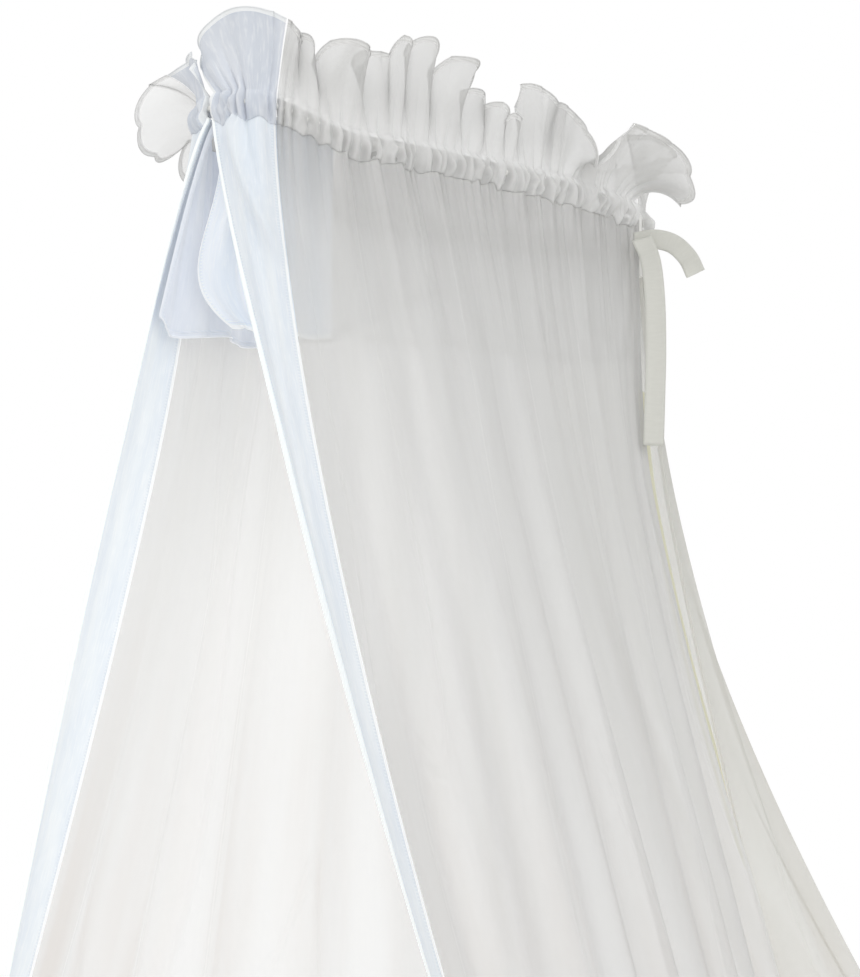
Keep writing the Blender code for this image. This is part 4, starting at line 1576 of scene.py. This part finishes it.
@dataclass
class Ties:
    """The two ribbons at the top of the slit."""

    shape: NetShape
    width: float = 0.020
    heading: float = 49.0        # degrees from +X towards +Y
    rows: int = 60
    columns: int = 8
    cup: float = 0.0014
    thickness: float = 0.0006
    arched: tuple[RibbonPoint, ...] = (
        RibbonPoint(-0.004, 0.032, 0.036), RibbonPoint(0.016, 0.036, 0.034),
        RibbonPoint(0.034, 0.036, 0.039), RibbonPoint(0.048, 0.034, 0.052),
        RibbonPoint(0.056, 0.032, 0.068),
    )
    hanging: tuple[RibbonPoint, ...] = (
        RibbonPoint(0.002, 0.042, 0.034), RibbonPoint(0.010, 0.050, 0.060),
        RibbonPoint(0.013, 0.057, 0.100), RibbonPoint(0.013, 0.061, 0.150),
        RibbonPoint(0.011, 0.064, 0.200), RibbonPoint(0.009, 0.065, 0.246),
    )

    def grid(self, route: tuple[RibbonPoint, ...]) -> ClothGrid:
        """A strip along the route, slightly cupped: its cross-section is a parabola.

        Args:
            route: the points that the ribbon passes.

        Returns:
            The ribbon's grid.
        """
        heading = np.radians(self.heading)
        across = np.array([np.cos(heading), np.sin(heading), 0.0])
        out = np.array([np.sin(heading), -np.cos(heading), 0.0])
        start = self.shape.hoop.at(np.array(self.shape.hoop.slit_share))
        knots = np.arange(len(route))
        steps = np.linspace(0, len(route) - 1, self.rows)
        a, o, d = (smooth_through(knots, [getattr(point, name) for point in route], steps)
                   for name in RibbonPoint._fields)
        middle = start + a[:, None] * across + o[:, None] * out - d[:, None] * UP
        run = unit(np.gradient(middle, axis=0))
        side = unit(np.cross(run, out))
        face = np.cross(side, run)
        wide = np.linspace(-self.width / 2, self.width / 2, self.columns)
        cup = self.cup * (wide / (self.width / 2)) ** 2
        points = (middle[:, None] + wide[None, :, None] * side[:, None]
                  + cup[None, :, None] * face[:, None])
        length = running(points[:, :1], 0)
        u = np.broadcast_to(wide, points.shape[:2])
        v = np.broadcast_to(length, points.shape[:2])
        return ClothGrid(points, u, v, self.width / 2 - np.abs(u))

    def build(self) -> list[bpy.types.Object]:
        """Makes both ribbons, with a little thickness.

        Returns:
            The two pieces.
        """
        made = []
        for name, route in (("tie_arched", self.arched), ("tie_hanging", self.hanging)):
            grid = self.grid(route)
            piece = cloth_mesh(f"{name}_ribbon", [grid])
            solid = piece.modifiers.new("thickness", "SOLIDIFY")
            solid.thickness, solid.offset = self.thickness, 0.0
            place(piece, WovenTape(), Slot.RIBBON, name)
            made.append(piece)
        return made


@dataclass
class Wire:
    """The hoop and its stem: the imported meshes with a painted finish."""

    finish: WhiteWire = field(default_factory=WhiteWire)

    def dress(self) -> None:
        """Puts the paint into both nodes' material slots."""
        for name in ("hoop", "stem"):
            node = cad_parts[name]
            node.material_slots[0].material = FINISHES.get(self.finish)
            log.info("%-22s painted", name)


# ---------------------------------------------------------------- studio

class Sun(NamedTuple):
    """A wide, soft sun: its strength, the way it shines, its width in degrees, its tint."""

    name: str
    strength: float
    direction: tuple[float, float, float]
    softness: float
    tint: tuple[float, float, float]


@dataclass
class Studio:
    """Floor, light and camera. The camera is given from the hoop's middle."""

    hoop: HoopLine
    camera_at: tuple[float, float, float] = (1.811, -1.575, -0.655)
    look_at: tuple[float, float, float] = (-0.00197, -0.00226, -0.292)
    lens: float = 93.78          # on a 36 mm long side
    floor_level: float = -1.50
    floor_size: float = 5.0
    ambient: float = 0.70
    suns: tuple[Sun, ...] = (
        Sun("key", 0.55, (0.35, 1.0, -0.55), 40.0, (1.0, 0.99, 0.97)),
        Sun("fill", 0.75, (-1.0, 0.35, -0.30), 60.0, (0.97, 0.985, 1.0)),
    )
    inner: tuple[tuple[float, float], ...] = (   # levels and watts of lamps inside the net
        (-0.12, 0.24), (-0.38, 0.55), (-0.68, 0.5), (-1.00, 0.4), (-1.30, 0.2))
    inner_at: tuple[float, float] = (-0.045, -0.24)
    inner_size: float = 0.11
    warm_white: tuple[float, float, float] = (1.0, 0.995, 0.985)

    def camera(self) -> None:
        """A camera at the photograph's angle."""
        data = bpy.data.cameras.new("camera")
        data.sensor_width, data.lens = 36.0, self.lens
        made = bpy.data.objects.new("camera", data)
        bpy.context.scene.collection.objects.link(made)
        middle = Vector(self.hoop.middle)
        made.location = middle + Vector(self.camera_at)
        towards = Vector(self.look_at) - Vector(self.camera_at)
        made.rotation_euler = towards.to_track_quat("-Z", "Y").to_euler()
        bpy.context.scene.camera = made

    def floor(self) -> None:
        """A flat square floor under the hem."""
        half = self.floor_size / 2
        corner = np.array([[-half, -half], [half, -half], [half, half], [-half, half]])
        points = np.column_stack([corner, np.full(4, self.floor_level)])
        made = raw_mesh("floor", points, np.array([[0, 1, 2, 3]]), corner)
        made.data.materials.append(FINISHES.get(Floor()))

    def sunlight(self) -> None:
        """The wide, soft suns."""
        for sun in self.suns:
            data = bpy.data.lights.new(sun.name, "SUN")
            data.energy, data.angle, data.color = sun.strength, np.radians(sun.softness), sun.tint
            made = bpy.data.objects.new(sun.name, data)
            made.rotation_euler = Vector(sun.direction).to_track_quat("-Z", "Y").to_euler()
            bpy.context.scene.collection.objects.link(made)

    def lamps(self) -> None:
        """An upright row of soft lamps inside the net."""
        for index, (level, power) in enumerate(self.inner):
            data = bpy.data.lights.new(f"inner_{index}", "POINT")
            data.energy, data.shadow_soft_size = power, self.inner_size
            data.color = self.warm_white
            made = bpy.data.objects.new(f"inner_{index}", data)
            made.location = (*self.inner_at, level)
            made.visible_camera = False
            bpy.context.scene.collection.objects.link(made)

    def world(self) -> None:
        """White behind the object, and a dimmer even light on it."""
        world = bpy.data.worlds.new("studio")
        bpy.context.scene.world = world
        world.use_nodes = True
        tree = world.node_tree
        backdrop = tree.nodes["Background"]
        backdrop.inputs["Color"].default_value = (1.0, 1.0, 1.0, 1.0)
        lighting = tree.nodes.new("ShaderNodeBackground")
        lighting.inputs["Color"].default_value = (*self.warm_white, 1.0)
        lighting.inputs["Strength"].default_value = self.ambient
        mix, path = tree.nodes.new("ShaderNodeMixShader"), tree.nodes.new("ShaderNodeLightPath")
        tree.links.new(path.outputs["Is Camera Ray"], mix.inputs[0])
        tree.links.new(lighting.outputs[0], mix.inputs[1])
        tree.links.new(backdrop.outputs[0], mix.inputs[2])
        tree.links.new(mix.outputs[0], tree.nodes["World Output"].inputs["Surface"])

    def build(self) -> None:
        """Sets up the whole studio."""
        self.camera()
        self.floor()
        self.sunlight()
        self.lamps()
        self.world()
        bpy.context.scene.view_settings.view_transform = "Standard"


def main() -> None:
    """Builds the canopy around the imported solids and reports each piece."""
    logging.basicConfig(level=logging.INFO, format="%(message)s", stream=sys.stdout)
    shape = NetShape()
    Studio(shape.hoop).build()
    Wire().dress()
    made = [Net(shape).build(), *Bands(shape).build(), *Flounce(shape).build(),
            *Heading(shape).build(), *Ties(shape).build()]
    log.info("%d cloths and pipings made", len(made))


if __name__ == "__main__":
    main()
